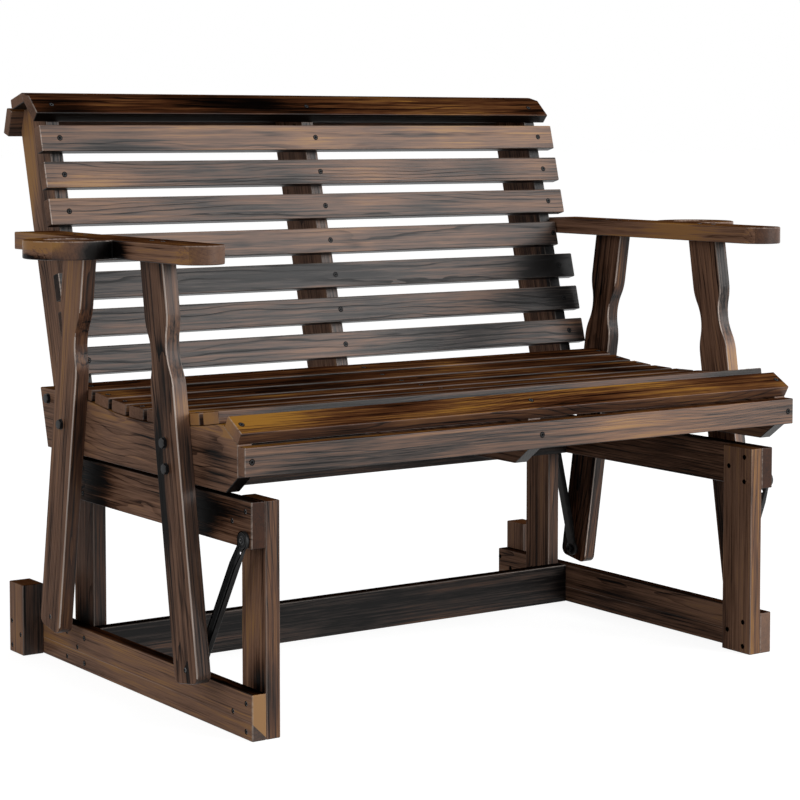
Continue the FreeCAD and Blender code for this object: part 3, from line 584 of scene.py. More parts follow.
def soften(mesh):
    """Flat faces keep their own normals, and eased edges run smoothly into them."""
    kind = mesh.attributes.get("kind")
    kinds = [item.value for item in kind.data] if kind else [0] * len(mesh.polygons)
    flat = {}
    every = {}
    for polygon in mesh.polygons:
        weighted = polygon.normal * polygon.area
        for corner in polygon.vertices:
            every[corner] = every.get(corner, Vector()) + weighted
            if kinds[polygon.index] == 1:
                flat[corner] = flat.get(corner, Vector()) + weighted
    normals = [Vector((0, 0, 1))] * len(mesh.loops)
    for polygon in mesh.polygons:
        for loop in polygon.loop_indices:
            corner = mesh.loops[loop].vertex_index
            if kinds[polygon.index] == 2:
                normals[loop] = polygon.normal
            else:
                normals[loop] = flat.get(corner, every[corner]).normalized()
    mesh.polygons.foreach_set("use_smooth", [True] * len(mesh.polygons))
    mesh.normals_split_custom_set(normals)


# Golden (above 0) and dark (below 0) places, by the only way that they show on, or any:
# most are golden and scorched patches of the wood, and some dark ones are painted shade: along
# the foot of the first seat slat's front under the nose board, at the front neck of the left cup
# holder, and on the back slats' ends beside the arms, with the arms' dark reflection there.
# A spot is its middle (x, y, z), its reach (x, y, z), both in mm, and its strength.
SPOTS_AND_SHADE = {
    "": (
        (-420, 218, 733, 100, 30, 26, 1.4), (-420, 239, 816, 50, 30, 14, 0.4),
        (-340, 239, 806, 100, 30, 10, 0.5), (-360, 239, 782, 140, 30, 6, -0.9),
        (90, 219, 744, 90, 30, 30, 1.1), (50, 190, 634, 90, 30, 25, 0.8),
        (-100, 216, 726, 120, 30, 16, -0.5), (-80, 180, 601, 100, 30, 20, -0.35),
        (455, 176, 583, 90, 40, 30, -2.2), (460, 160, 522, 80, 40, 26, -1.1),
        (-420, 179, 585, 130, 40, 30, -0.7), (-400, 163, 525, 160, 40, 30, -0.5),
        (440, 225, 748, 70, 30, 20, 0.5), (300, 150, 467, 120, 40, 30, -0.3),
        (-150, 262, 858, 110, 50, 14, -1.1), (-70, 262, 856, 50, 50, 8, -0.8),
        (-440, 262, 845, 60, 50, 12, -1.0), (-360, 262, 852, 70, 50, 12, 0.45),
        (300, 262, 852, 200, 50, 20, 0.25), (156, 69, 425, 60, 30, 30, 0.75),
        (204, -55, 425, 70, 20, 30, -0.8), (380, -60, 425, 70, 50, 30, -0.6),
        (-460, -190, 425, 50, 90, 30, 0.8), (-460, 20, 425, 30, 80, 30, 0.5),
        (-170, 12, 425, 100, 30, 30, -0.4), (200, -312, 420, 160, 30, 30, 1.2),
        (-450, -310, 420, 110, 40, 30, 1.4), (-220, -310, 420, 120, 30, 30, -0.35),
        (380, -310, 420, 80, 30, 30, -0.3), (470, -120, 652, 30, 100, 20, 0.8),
        (470, 80, 652, 30, 60, 20, -0.3), (-448, -325, 70, 12, 30, 50, -1.3),
        (-450, -330, 140, 15, 30, 50, 0.15), (440, 0, 50, 20, 300, 50, -0.25),
        (-440, 190, 60, 30, 40, 50, -0.9)),
    "left": (
        (-470, 325, 735, 10, 28, 140, 1.7), (-470, 268, 720, 10, 20, 140, -0.7),
        (-645, -80, 657, 50, 90, 13, 1.3), (-645, -30, 636, 50, 120, 9, -1.3),
        (-560, -100, 643, 35, 35, 22, -2.6), (-540, -170, 655, 30, 40, 10, 0.5),
        (-530, -290, 648, 30, 30, 30, 0.3), (-514, -130, 570, 10, 35, 100, -0.9),
        (-514, -200, 480, 10, 30, 60, -0.5), (-514, -172, 360, 20, 22, 100, -1.6),
        (-514, -188, 250, 20, 20, 80, -1.4), (-514, -205, 150, 20, 18, 70, -0.7),
        (490, -235, 475, 30, 20, 60, 0.4), (-470, -50, 45, 10, 140, 14, 0.2),
        (-490, -290, 400, 10, 50, 60, -1.0), (-490, -100, 400, 10, 50, 50, -0.5),
        (-470, 100, 290, 10, 50, 50, -0.9), (-470, -220, 290, 10, 50, 50, -0.7),
        (-490, -255, 430, 20, 50, 30, 1.2)),
    "front": (
        (0, -300, 417.8, 2000, 12, 7, -3.0), (-280, -367, 375, 300, 20, 60, -0.6),
        (250, -367, 380, 250, 20, 50, 0.08), (50, -367, 395, 100, 20, 20, -0.5),
        (-560, -100, 643, 35, 35, 22, -2.6), (-503, -260, 620, 20, 40, 30, -1.2),
        (503, -260, 570, 30, 80, 90, -2.2), (506, -230, 440, 30, 80, 50, 1.1),
        (-503, -200, 440, 20, 50, 30, 0.8)),
}
# Ways that a face can look.
WAYS = {"front": (0, -1, 0), "left": (-1, 0, 0), "right": (1, 0, 0), "top": (0, 0, 1)}

# By piece: how far its upright faces take the paler grey palette, partly painted light, where it isn't the
# usual 1;
# how light (above 0) or dark it is, painted shade on the stretchers; and how much its corners are lightened,
# rubbed wood and painted highlight together.
UPRIGHT_GREY_AND_LIGHT = {
    "cap_front": 0.0, "cap_top": 0.2, "nose_board": 0.35, "armrest_left": 0.55, "armrest_right": 0.4,
    "arm_leg_rear_left": 0.3, "arm_leg_rear_right": 0.4, "arm_leg_front_left": 0.75, "front_post": 0.4,
    "rear_post": 0.4, "bottom_rail": 0.9, "top_rail": 0.05, "stop_block": 0.7, "seat_slat_1": 0.35,
    "stretcher": 0.6}
# Dark tones on the stretchers are painted shade.
TONES_AND_SHADE = {
    "cap_front": -0.12, "nose_board": 0.12, "armrest": 0.08, "lower_stretcher": -0.8,
    "upper_stretcher": -0.7, "rear_post": -0.35, "top_rail": -0.3, "back_slat_1": 0.1,
    "back_slat_2": -0.32, "back_slat_3": -0.32, "back_slat_4": -0.28, "back_slat_5": -0.62,
    "back_slat_6": -0.48, "back_slat_7": -0.48, "seat_support": -0.02, "back_support_middle": -0.15,
    "back_support_right": -0.35, "seat_slat": -0.06, "arm_leg_rear_right": -0.4, "front_post": 0.08}
# Lightened edges: rubbed wood and painted highlight together.
RUBBED_AND_HIGHLIT = {
    "seat_slat_1": 0.15, "arm_leg": 1.4, "back_slat_1": 1.0, "bottom_rail": 0.5, "front_post": 0.3,
    "armrest": 0.5}
# How much lighter (above 0) or darker the faces that look one way are, partly the wood's own colour
# there and partly painted shade, as on the fronts of the back supports and seat slats; and the undersides,
# painted dark as shade.
SHADES = (
    ("bottom_rail_left", "front", 1.25), ("bottom_rail_left", "left", 0.22),
    ("stop_block_left", "front", -0.5), ("back_support", "front", -0.8),
    ("back_support_middle", "front", 0.4), ("seat_slat", "front", -0.45), ("bottom_rail", "top", -0.55),
    ("arm_leg_front", "front", -0.28), ("arm_leg_front", "left", -0.15),
    ("arm_leg_rear_left", "front", -0.1), ("arm_leg_rear_left", "left", -0.05),
    ("top_rail", "top", -0.4), ("stretcher", "top", -0.4))
# How dark undersides are painted as shade, where it isn't the usual -1.3.
UNDER_SHADES = {"nose_board": -0.2, "armrest": -0.7, "arm_leg": -0.3}
SCRIBES = {"bottom_rail": 25.5 * MM}     # height of a pale line along the board
# A corner of a board's front that is darker below a straight line: two (x, z) ends.
WEDGES = {"bottom_rail_left": ((-0.470, 0.0245), (-0.448, 0.003))}


def told(table, node, usual):
    """What a table says of a node by its name or by the start or end of it."""
    for name, value in table.items():
        if node == name or node.startswith(name + "_") or node.endswith("_" + name):
            return value
    return usual


def read(items, field, kind=float, width=1):
    """A field of a mesh's points, corners or faces, as one array."""
    flat = numpy.empty(len(items) * width, kind)
    items.foreach_get(field, flat)
    return flat.reshape(-1, width) if width > 1 else flat


def smooth_step(values, low, high):
    share_of = numpy.clip((values - low) / (high - low), 0.0, 1.0)
    return share_of * share_of * (3 - 2 * share_of)


def paint(mesh, node, along, rows=()):
    """Writes how golden or dark a board is, painted shade included, how greyish and lit its faces are, how
    worn and highlighted its edges are and where it is sawn, and varnishes its faces by their way.
    Rows are the ((y, z), node) of slats with tones of their own."""
    places = read(mesh.vertices, "co", float, 3)
    normals = read(mesh.polygons, "normal", float, 3)
    centres = read(mesh.polygons, "center", float, 3)
    corner = read(mesh.loops, "vertex_index", int)
    face = numpy.repeat(numpy.arange(len(normals)), read(mesh.polygons, "loop_total", int))
    across, front, up = normals.T
    looks = {way: smooth_step(normals @ numpy.array(look), 0.3, 0.8) for way, look in WAYS.items()}

    tone = numpy.full(len(corner), told(TONES_AND_SHADE, node, 0.0))
    if rows:
        middles = numpy.array([row[0] for row in rows])
        row_tones = numpy.array([told(TONES_AND_SHADE, row[1], 0.0) for row in rows])
        far = numpy.linalg.norm(places[:, None, 1:] - middles[None], axis=2)
        tone = row_tones[numpy.argmin(far, axis=1)][corner]
    # Faces that look one way are lightened or darkened, partly as painted shade.
    for start, way, strength in SHADES:
        if node.startswith(start):
            tone += strength * looks[way][face]
    # Undersides are painted dark as shade.
    tone += told(UNDER_SHADES, node, -1.3) * smooth_step(-up, 0.35, 0.6)[face]
    # Golden and scorched patches, and painted shade.
    for way, spots in SPOTS_AND_SHADE.items():
        for spot in spots:
            centre, reach = numpy.array(spot[:3]) * MM, numpy.array(spot[3:6]) * MM
            far = (((places - centre) / reach) ** 2).sum(axis=1)
            if far.min() < 4:
                shown = looks[way][face] if way else 1.0
                tone += spot[6] * numpy.exp(-far * 1.5)[corner] * shown
    wedge = told(WEDGES, node, None)
    if wedge:
        (x, z), (end_x, end_z) = wedge
        below = centres[:, 2] < z + (centres[:, 0] - x) * (end_z - z) / (end_x - x)
        tone[(below & (front < -0.6))[face]] = -0.45

    kind = mesh.attributes.get("kind")
    kinds = read(kind.data, "value", int) if kind else numpy.ones(len(normals), int)
    eased = kinds == 0
    # The walls and floors of bolt pockets are painted black as shade.
    tone[(kinds == 2)[face]] = -2.0
    # Edges are lightened, most on the corners that look left and forward, less on the front edges of tops:
    # rubbed wood and painted highlight together.
    lit = (across < -0.25) & (front < -0.25) & (up > -0.2)
    rub_and_highlight = told(RUBBED_AND_HIGHLIT, node, 0.45)
    worn = numpy.where(lit, rub_and_highlight, numpy.where((abs(front) > 0.2) & (up > 0.2), min(0.30, rub_and_highlight), 0.08))
    worn = numpy.where(eased & (up > -0.2), worn, 0.0)
    worn[(abs(centres[:, 2] - told(SCRIBES, node, -1.0)) < 0.5 * MM) & (abs(across) > 0.9)] = 0.45
    # Upright faces, most of all those looking forward, take the paler grey palette and tops the dark one:
    # partly painted light.
    ash = numpy.minimum(1.0, front ** 2 + 0.2 * across ** 2 + 0.2 * up ** 2) * told(UPRIGHT_GREY_AND_LIGHT, node, 1.0)
    ash[up > TOP_LEAN] = 0.0
    sawn = smooth_step(abs(normals @ numpy.array(along)), 0.35, 0.85)
    for title, values, domain in (("tone", tone, "CORNER"), ("ash", ash, "FACE"),
                                  ("worn", worn, "FACE"), ("sawn", sawn, "FACE")):
        mesh.attributes.new(title, "FLOAT", domain).data.foreach_set("value", values)
    mesh.materials.clear()
    for title in ("stained_wood", "stained_top", "stained_side"):
        mesh.materials.append(material_of(title))
    finish = numpy.where(up > TOP_LEAN, 1, numpy.where(abs(across) > 0.75, 2, 0))
    mesh.polygons.foreach_set("material_index", finish)


def unit(axis):
    return Vector([1.0 if i == axis else 0.0 for i in range(3)])


class Log:
    """Hands each board its own place in the log that it was sawn from."""

    def __init__(self, seed):
        self.random = random.Random(seed)

    def shift(self):
        angle = self.random.uniform(0, math.tau)
        far = self.random.uniform(0.035, 0.11)
        along = self.random.uniform(0, 40)
        return Vector((along, far * math.cos(angle), far * math.sin(angle)))


log = Log(GRAIN_SEED)


def write_grain(mesh, along, across, origin):
    """Stores each point's place in the log: along the grain, across it and deep."""
    turn = numpy.array([along, across, along.cross(across)])
    places = read(mesh.vertices, "co", float, 3) - numpy.array(origin)
    values = places @ turn.T + numpy.array(log.shift())
    mesh.attributes.new("grain", "FLOAT_VECTOR", "POINT").data.foreach_set("vector", values.ravel())


def show(name, mesh, body, slot, nodes=()):
    """Turns a finished mesh into a piece that rides on a body and stands for CAD nodes."""
    if not mesh.materials:
        mesh.materials.append(material_of(slot))
    piece = link_object(name, mesh)
    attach(piece, body)
    if nodes:
        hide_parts(*nodes)
    return piece


def finish_wood(name, mesh, nodes, along, rows=()):
    paint(mesh, nodes[0], along, rows)
    soften(mesh)
    show(name, mesh, frame["nodes"][nodes[0]]["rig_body"], "stained_wood", nodes)


def board(node, axis, grain, pockets=()):
    """Dresses one CAD board: axis is the way through its face, grain the way it runs."""
    sizes = bpy.context.scene.bench_boards
    index = AXES[axis]
    low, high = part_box(node)
    loops = face_loops(node, index, True)
    loops = [loop for i, loop in enumerate(loops) if i == 0 or ring_length(loop) > BIG_HOLE]
    blank = plate(loops, index, low[index], high[index], sizes.edge, sizes.edge_steps, pockets)
    dress(blank.bm, node, Vector(grain).normalized(), unit(index))


def dress(bm, node, along, across):
    """Cuts a board's mesh up for its colours, and gives it its grain and finish."""
    slice_up(bm, bpy.context.scene.bench_boards.slice)
    scribe = told(SCRIBES, node, None)
    for at in (scribe - SCRIBE_HALF, scribe + SCRIBE_HALF) if scribe else ():
        cut_across(bm, (0, 0, at), (0, 0, 1))
    if node in WEDGES:
        (x, z), (end_x, end_z) = WEDGES[node]
        cut_across(bm, (x, 0, z), (z - end_z, 0, end_x - x))
    mesh = mesh_of(bm, node)
    if abs(along.dot(across)) > 0.9:
        run = section_middle(node)[1].normalized()
        across = Vector((0, run.x, run.y))
    low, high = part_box(node)
    write_grain(mesh, along, across, (low + high) / 2)
    finish_wood("wood_" + node, mesh, [node], along)


# Geometry Nodes

class Recipe(Wiring):
    """A Geometry Nodes tree with named inputs."""

    def __init__(self, name, sizes):
        super().__init__(bpy.data.node_groups.new(name, "GeometryNodeTree"))
        face = self.tree.interface
        face.new_socket("Points", in_out="INPUT", socket_type="NodeSocketGeometry")
        for title, kind, value in sizes:
            socket = face.new_socket(title, in_out="INPUT", socket_type="NodeSocket" + kind)
            if value is not None:
                socket.default_value = value
        face.new_socket("Result", in_out="OUTPUT", socket_type="NodeSocketGeometry")
        given = self.tree.nodes.new("NodeGroupInput").outputs
        self.given = {socket.name: Field(self, socket) for socket in given}
        self.result = self.tree.nodes.new("NodeGroupOutput")

    def named(self, title, kind="FLOAT"):
        return self.out("GeometryNodeInputNamedAttribute", {"Name": title}, "Attribute", data_type=kind)

    def store(self, geometry, title, value, kind, domain):
        values = {"Geometry": geometry, "Name": title, "Value": value}
        return self.out("GeometryNodeStoreNamedAttribute", values, data_type=kind, domain=domain)

    def realised(self, geometry):
        return self.out("GeometryNodeRealizeInstances", {0: geometry})

    def set_on_points(self, part, **settings):
        """Puts a part at each of the points that the recipe is given."""
        values = {"Points": self.given["Points"], "Instance": part}
        values.update((title.capitalize(), value) for title, value in settings.items())
        return self.out("GeometryNodeInstanceOnPoints", values)

    def pattern(self):
        return self.out("GeometryNodeObjectInfo", {"Object": self.given["Part"]}, "Geometry")

    def end(self, geometry, material):
        values = {"Geometry": self.realised(geometry), "Material": material}
        painted = self.out("GeometryNodeSetMaterial", values)
        self.tree.links.new(painted.socket, self.result.inputs[0])


def cooked(recipe, points, values, name):
    """Runs a recipe on a point mesh and returns the plain mesh that comes out."""
    carrier = link_object("carrier", points)
    modifier = carrier.modifiers.new("recipe", "NODES")
    modifier.node_group = recipe.tree
    for item in recipe.tree.interface.items_tree:
        if item.in_out == "INPUT" and item.name in values:
            modifier[item.identifier] = values[item.name]
    bpy.context.view_layer.update()
    graph = bpy.context.evaluated_depsgraph_get()
    mesh = bpy.data.meshes.new_from_object(carrier.evaluated_get(graph), depsgraph=graph)
    mesh.name = name
    carrier.modifiers.remove(modifier)
    bpy.data.objects.remove(carrier)
    return mesh


def point_mesh(places, **attributes):
    """Loose points; attributes are lists of numbers or of vectors, one for each point."""
    mesh = bpy.data.meshes.new("points")
    mesh.from_pydata([tuple(p) for p in places], [], [])
    for title, values in attributes.items():
        if hasattr(values[0], "__len__"):
            store = mesh.attributes.new(title, "FLOAT_VECTOR", "POINT")
            store.data.foreach_set("vector", [x for value in values for x in value])
        else:
            mesh.attributes.new(title, "FLOAT", "POINT").data.foreach_set("value", values)
    return mesh


def slat_recipe():
    """Slats with eased edges, each set at its point, tilted, and cut from its own place in the log."""
    r = Recipe("slat_row", (
        ("Length", "Float", 0.98), ("Width", "Float", 0.043), ("Thickness", "Float", 0.0175),
        ("Edge radius", "Float", 0.0016), ("Slices", "Int", 80), ("Seed", "Int", 3)))
    edge, width, thickness = (r.given[title] for title in ("Edge radius", "Width", "Thickness"))
    half = r.given["Length"] * 0.5 - edge
    line = r.out("GeometryNodeCurvePrimitiveLine",
                 {"Start": r.join(half * -1.0, 0.0, 0.0), "End": r.join(half, 0.0, 0.0)})
    line = r.out("GeometryNodeResampleCurve", {"Curve": line, "Count": r.given["Slices"]})
    section = r.out("GeometryNodeCurvePrimitiveQuadrilateral", {"Width": width, "Height": thickness})
    section = r.out("GeometryNodeFilletCurve", {"Curve": section, "Count": 2, "Radius": edge}, mode="POLY")
    solid = r.out("GeometryNodeCurveToMesh", {"Curve": line, "Profile Curve": section, "Fill Caps": True})

    normal = r.split(r.out("GeometryNodeInputNormal"))
    picked = r.math("GREATER_THAN", abs(normal[0]), 0.9)
    for step in range(END_STEPS):
        first, second = (math.pi / 2 * i / END_STEPS for i in (step, step + 1))
        grown = r.node("GeometryNodeExtrudeMesh", {
            "Mesh": solid, "Selection": picked, "Individual": False,
            "Offset Scale": edge * (math.sin(second) - math.sin(first))})
        shrink = [(size * 0.5 - edge * (1 - math.cos(second))) / (size * 0.5 - edge * (1 - math.cos(first)))
                  for size in (width, thickness)]
        moved = r.vector("MULTIPLY", r.out("GeometryNodeInputPosition"), r.join(1.0, *shrink))
        picked = Field(r, grown.outputs["Top"])
        solid = r.out("GeometryNodeSetPosition", {
            "Geometry": Field(r, grown.outputs["Mesh"]), "Selection": picked, "Position": moved})

    sides = [abs(value) for value in normal]
    widest = r.math("MAXIMUM", r.math("MAXIMUM", sides[0], sides[1]), sides[2])
    solid = r.store(solid, "kind", r.math("GREATER_THAN", widest, 0.9999), "INT", "FACE")
    solid = r.store(solid, "grain", r.out("GeometryNodeInputPosition"), "FLOAT_VECTOR", "POINT")
    row = r.set_on_points(solid, rotation=r.join(r.named("tilt"), 0.0, 0.0),
                          scale=r.join(r.named("reach"), 1.0, 1.0))
    row = r.store(row, "number", r.out("GeometryNodeInputIndex"), "FLOAT", "INSTANCE")
    pick = r.node("FunctionNodeRandomValue", {"ID": r.named("number"), "Seed": r.given["Seed"]},
                  data_type="FLOAT_VECTOR")
    pick.inputs[0].default_value = (0.0, -0.07, 0.03)
    pick.inputs[1].default_value = (40.0, 0.07, 0.10)
    grain = r.vector("ADD", r.named("grain", "FLOAT_VECTOR"), Field(r, pick.outputs[0]))
    r.end(r.store(r.realised(row), "grain", grain, "FLOAT_VECTOR", "POINT"), material_of("stained_wood"))
    return r


def fastener_recipe(slot):
    """One small part set at each point, facing the way the point says, turned by chance."""
    r = Recipe("fasteners", (("Part", "Object", None), ("Seed", "Int", 5)))
    way = r.named("facing", "FLOAT_VECTOR")
    facing = r.out("FunctionNodeAlignRotationToVector", {"Vector": way}, axis="Z")
    pick = r.out("FunctionNodeRandomValue", {"Max": math.tau, "Seed": r.given["Seed"]}, 1,
                 data_type="FLOAT")
    spin = r.out("FunctionNodeAxisAngleToRotation", {"Axis": (0.0, 0.0, 1.0), "Angle": pick})
    turned = r.out("FunctionNodeRotateRotation", {0: facing, 1: spin}, rotation_space="LOCAL")
    r.end(r.set_on_points(r.pattern(), rotation=turned), material_of(slot))
    return r


def link_recipe():
    """A swing link hung from each point, leaning and facing as the point says."""
    r = Recipe("swing_links", (("Part", "Object", None),))
    hung = r.set_on_points(r.pattern(), rotation=r.join(r.named("lean"), 0.0, r.named("turn")))
    r.end(hung, material_of("black_steel"))
    return r


# Small turned parts

def lathe(profile, steps, hexagon=(), wear=None, closed=False, cross=()):
    """Turns (radius, height) points about Z. Points named in hexagon get six flats, those in
    cross the outline of a cross, and wear gives runs of the profile a lighter rim, rubbed coating
    and painted highlight together (above 0), or painted shade, black at -1 (below 0). The run after the last
    is the end cap."""
    wear = wear or {}
    bm = bmesh.new()
    mark = bm.faces.layers.float.new("wear")
    rings = []
    for i, (radius, height) in enumerate(profile):
        ring = []
        for step in range(steps if radius > 0 else 1):
            angle = math.tau * step / steps
            reach = radius
            if i in hexagon:
                sixth = math.pi / 3
                reach = radius * math.cos(math.pi / 6) / math.cos((angle % sixth) - sixth / 2)
            if i in cross:
                quarter = (angle + math.pi / 4) % (math.pi / 2) - math.pi / 4
                reach = radius * (0.54 if abs(quarter) < 0.38 else 0.26)
            ring.append(bm.verts.new((reach * math.cos(angle), reach * math.sin(angle), height)))
        rings.append(ring)
    for run, (low, high) in enumerate(zip(rings, rings[1:] + (rings[:1] if closed else []))):
        for step in range(steps):
            after = (step + 1) % steps
            corners = [ring[i] for ring, order in ((low, (step, after)), (high, (after, step)))
                       for i in (order if len(ring) > 1 else (0,))]
            bm.faces.new(corners)[mark] = wear.get(run, 0.0)
    for ring, value in () if closed else ((rings[0][::-1], 0.0), (rings[-1], wear.get(len(rings) - 1, 0.0))):
        if len(ring) > 1:
            bm.faces.new(ring)[mark] = value
    return bm


def sharpened(mesh, angle=32):
    mesh.polygons.foreach_set("use_smooth", [True] * len(mesh.polygons))
    mesh.set_sharp_from_angle(angle=math.radians(angle))


def screw_head(radius, sides):
    """Head of a wood screw: a disc in a countersink, with a cross cut into it; the countersink and the cross
    are painted black as shade, and the disc's bevel lightened as rubbed coating and painted highlight.
    """
    rings = ((1.0, -0.4), (1.0, 0.10), (0.76, 0.04), (0.71, 0.42), (0.62, 0.50), (1.0, 0.46), (0.90, 0.06))
    return lathe([(radius * reach, height * MM) for reach, height in rings], sides, cross=(5, 6),
                 wear={0: -1.0, 1: -1.0, 3: 0.30, 4: 0.12, 5: -1.0, 6: -1.0})


def part_object(name, bm):
    """A pattern that a recipe copies, removed once it is used."""
    return link_object(name, mesh_of(bm, name))


def coat_painted_shade(mesh, slot):
    """Coats a steel piece, and gives the faces painted black as shade, in recesses and on the links' rims, a
    finish without gloss.
    """
    marks = read(mesh.attributes["wear"].data, "value")
    mesh.materials.clear()
    mesh.materials.append(material_of(slot))
    mesh.materials.append(material_of("recess"))
    mesh.polygons.foreach_set("material_index", numpy.where(marks < -0.9, 1, 0))


def set_out(name, pattern, places, body, nodes=(), slot="black_hardware", seed=5):
    """Copies a pattern to (place, facing) pairs as one piece on a body."""
    part = part_object(name + "_pattern", pattern)
    points = point_mesh([place for place, _ in places], facing=[tuple(way) for _, way in places])
    mesh = cooked(fastener_recipe(slot), points, {"Part": part, "Seed": seed}, name)
    sharpened(mesh)
    coat_painted_shade(mesh, slot)
    bpy.data.objects.remove(part)
    return show(name, mesh, body, slot, nodes)


def solids_of(node):
    """Centre and box of each separate solid of a grouped CAD node."""
    bm = bmesh.new()
    bm.from_mesh(frame["nodes"][node].data)
    bmesh.ops.remove_doubles(bm, verts=bm.verts, dist=1e-6)
    left = set(bm.verts)
    found = []
    while left:
        stack = [left.pop()]
        group = []
        while stack:
            vertex = stack.pop()
            group.append(vertex.co.copy())
            for edge in vertex.link_edges:
                other = edge.other_vert(vertex)
                if other in left:
                    left.remove(other)
                    stack.append(other)
        low = Vector([min(p[i] for p in group) for i in range(3)])
        high = Vector([max(p[i] for p in group) for i in range(3)])
        found.append((low, high))
    bm.free()
    found.sort(key=lambda pair: tuple(round(x, 4) for x in pair[0]))
    return found


# Pieces of the bench

def section(node):
    """Outline of a lengthwise board's end, as (y, z) corners."""
    return without_straights(turned_ccw(face_loops(node, 0, True)[0]))


def section_middle(node):
    """Middle of a leaning board, its longest run as (y, z), and its width and thickness."""
    loop = section(node)
    centre = Vector((sum(p[0] for p in loop) / len(loop), sum(p[1] for p in loop) / len(loop)))
    runs = [(Vector(loop[i]) - Vector(loop[i - 1])) for i in range(len(loop))]
    longest = max(runs, key=lambda run: run.length)
    shortest = min(runs, key=lambda run: run.length)
    return centre, longest, longest.length, shortest.length


def slat_row(name, nodes, seed, face):
    """All the slats of a row from one recipe. face is the way their shown side looks."""
    sizes = bpy.context.scene.bench_boards
    places, tilts, reaches = [], [], []
    lengths = [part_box(node)[1].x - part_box(node)[0].x for node in nodes]
    longest = max(lengths)
    for node, size in zip(nodes, lengths):
        centre, run, width, thickness = section_middle(node)
        places.append((0.0, centre.x, centre.y))
        way = run.normalized()
        across = way if way.x * face[1] - way.y * face[0] > 0 else -way
        tilts.append(math.atan2(across.y, across.x))
        reaches.append(size / longest)
    recipe = slat_recipe()
    points = point_mesh(places, tilt=tilts, reach=reaches)
    mesh = cooked(recipe, points, {
        "Length": longest, "Width": width, "Thickness": thickness, "Edge radius": sizes.edge,
        "Slices": int(longest / sizes.slice), "Seed": seed}, name)
    rows = [((place[1], place[2]), node) for place, node in zip(places, nodes)]
    finish_wood(name, mesh, nodes, unit(0), rows)


class BENCH_OT_seat_slats(bpy.types.Operator):
    """Seat slats in their dished row, with the nose board and the apron"""
    bl_idname = "bench.seat_slats"
    bl_label = "Seat slats"

    def execute(self, context):
        slat_row("seat_slats", ["seat_slat_%d" % i for i in range(1, 9)], 3, (0, 1))
        for node in ("nose_board", "front_apron"):
            board(node, "x", (1, 0, 0))
        return {"FINISHED"}


class BENCH_OT_back_slats(bpy.types.Operator):
    """Back slats and the three cap boards over them"""
    bl_idname = "bench.back_slats"
    bl_label = "Back slats"

    def execute(self, context):
        slat_row("back_slats", ["back_slat_%d" % i for i in range(1, 8)], 7, (-1, 0))
        for node in ("cap_front", "cap_top", "cap_rear"):
            board(node, "x", (1, 0, 0))
        return {"FINISHED"}


class BENCH_OT_supports(bpy.types.Operator):
    """Seat supports and back supports"""
    bl_idname = "bench.supports"
    bl_label = "Supports"

    def execute(self, context):
        for _, side in SIDES:
            board("seat_support_" + side, "x", (0, 1, 0.02))
            board("back_support_" + side, "x", (0, 0.26, 0.966))
        for node, way in (("seat_support_middle", (0, 1, 0.02)), ("back_support_middle", (0, 0.26, 0.966))):
            lapped(node, way)
        return {"FINISHED"}


def lapped(node, grain):
    """A middle support, with the notch of its half lap, eased like the rest."""
    bm = bmesh.new()
    bm.from_mesh(frame["nodes"][node].data)
    bmesh.ops.remove_doubles(bm, verts=bm.verts, dist=1e-6)
    bmesh.ops.dissolve_limit(bm, angle_limit=0.01, verts=bm.verts, edges=bm.edges)
    kind = bm.faces.layers.int.new("kind")
    for face in bm.faces:
        face[kind] = 1
    sharp = [edge for edge in bm.edges
             if edge.is_manifold and edge.calc_face_angle() > 0.5 and edge.is_convex]
    made = bmesh.ops.bevel(bm, geom=sharp, offset=bpy.context.scene.bench_boards.edge * 0.6, segments=2,
                           profile=0.5, affect="EDGES", clamp_overlap=True)
    for face in made["faces"]:
        face[kind] = 0
    dress(bm, node, Vector(grain).normalized(), unit(0))


class BENCH_OT_arms(bpy.types.Operator):
    """Armrests with their cup holders, and the waisted legs under them"""
    bl_idname = "bench.arms"
    bl_label = "Arms"

    def execute(self, context):
        hardware = context.scene.bench_hardware
        for sign, side in SIDES:
            board("armrest_" + side, "z", (0, 1, 0))
            for end, way in (("front", (0, 0.16, 0.987)), ("rear", (0, -0.16, 0.987))):
                pivot = bearing_places("bearings_%s_%s" % (end, side))[0]
                pocket = ((pivot.y, pivot.z), hardware.pocket_r, 1.6 * MM, sign > 0)
                board("arm_leg_%s_%s" % (end, side), "x", way, [pocket])
        return {"FINISHED"}


def bearing_places(node):
    """Middles of a link's lower and upper bearings."""
    middles = [(low + high) / 2 for low, high in solids_of(node)]
    return sorted(middles, key=lambda place: place.z)


class BENCH_OT_base(bpy.types.Operator):
    """Rails, posts, stretchers and stop blocks of the base frame"""
    bl_idname = "bench.base"
    bl_label = "Base frame"

    def execute(self, context):
        radius = context.scene.bench_hardware.pocket_r
        heads = solids_of("frame_bolts")
        for sign, side in SIDES:
            for part, way in (("bottom_rail", (0, 1, 0)), ("top_rail", (0, 1, 0)), ("front_post", (0, 0, 1)),
                              ("rear_post", (0, 0, 1)), ("stop_block", (0, 0, 1))):
                node = part + "_" + side
                low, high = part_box(node)
                outer = 1 if sign > 0 else 0
                pockets = []
                for bolt in heads:
                    middle = (bolt[0] + bolt[1]) / 2
                    sunk = ((low, high)[outer].x - bolt[outer].x) * sign
                    if 0 < sunk < 5 * MM and low.y < middle.y < high.y and low.z < middle.z < high.z:
                        pockets.append(((middle.y, middle.z), radius, 2.8 * MM, sign > 0))
                board(node, "x", way, pockets)
        for node in ("lower_stretcher", "upper_stretcher"):
            board(node, "y", (1, 0, 0))
        return {"FINISHED"}


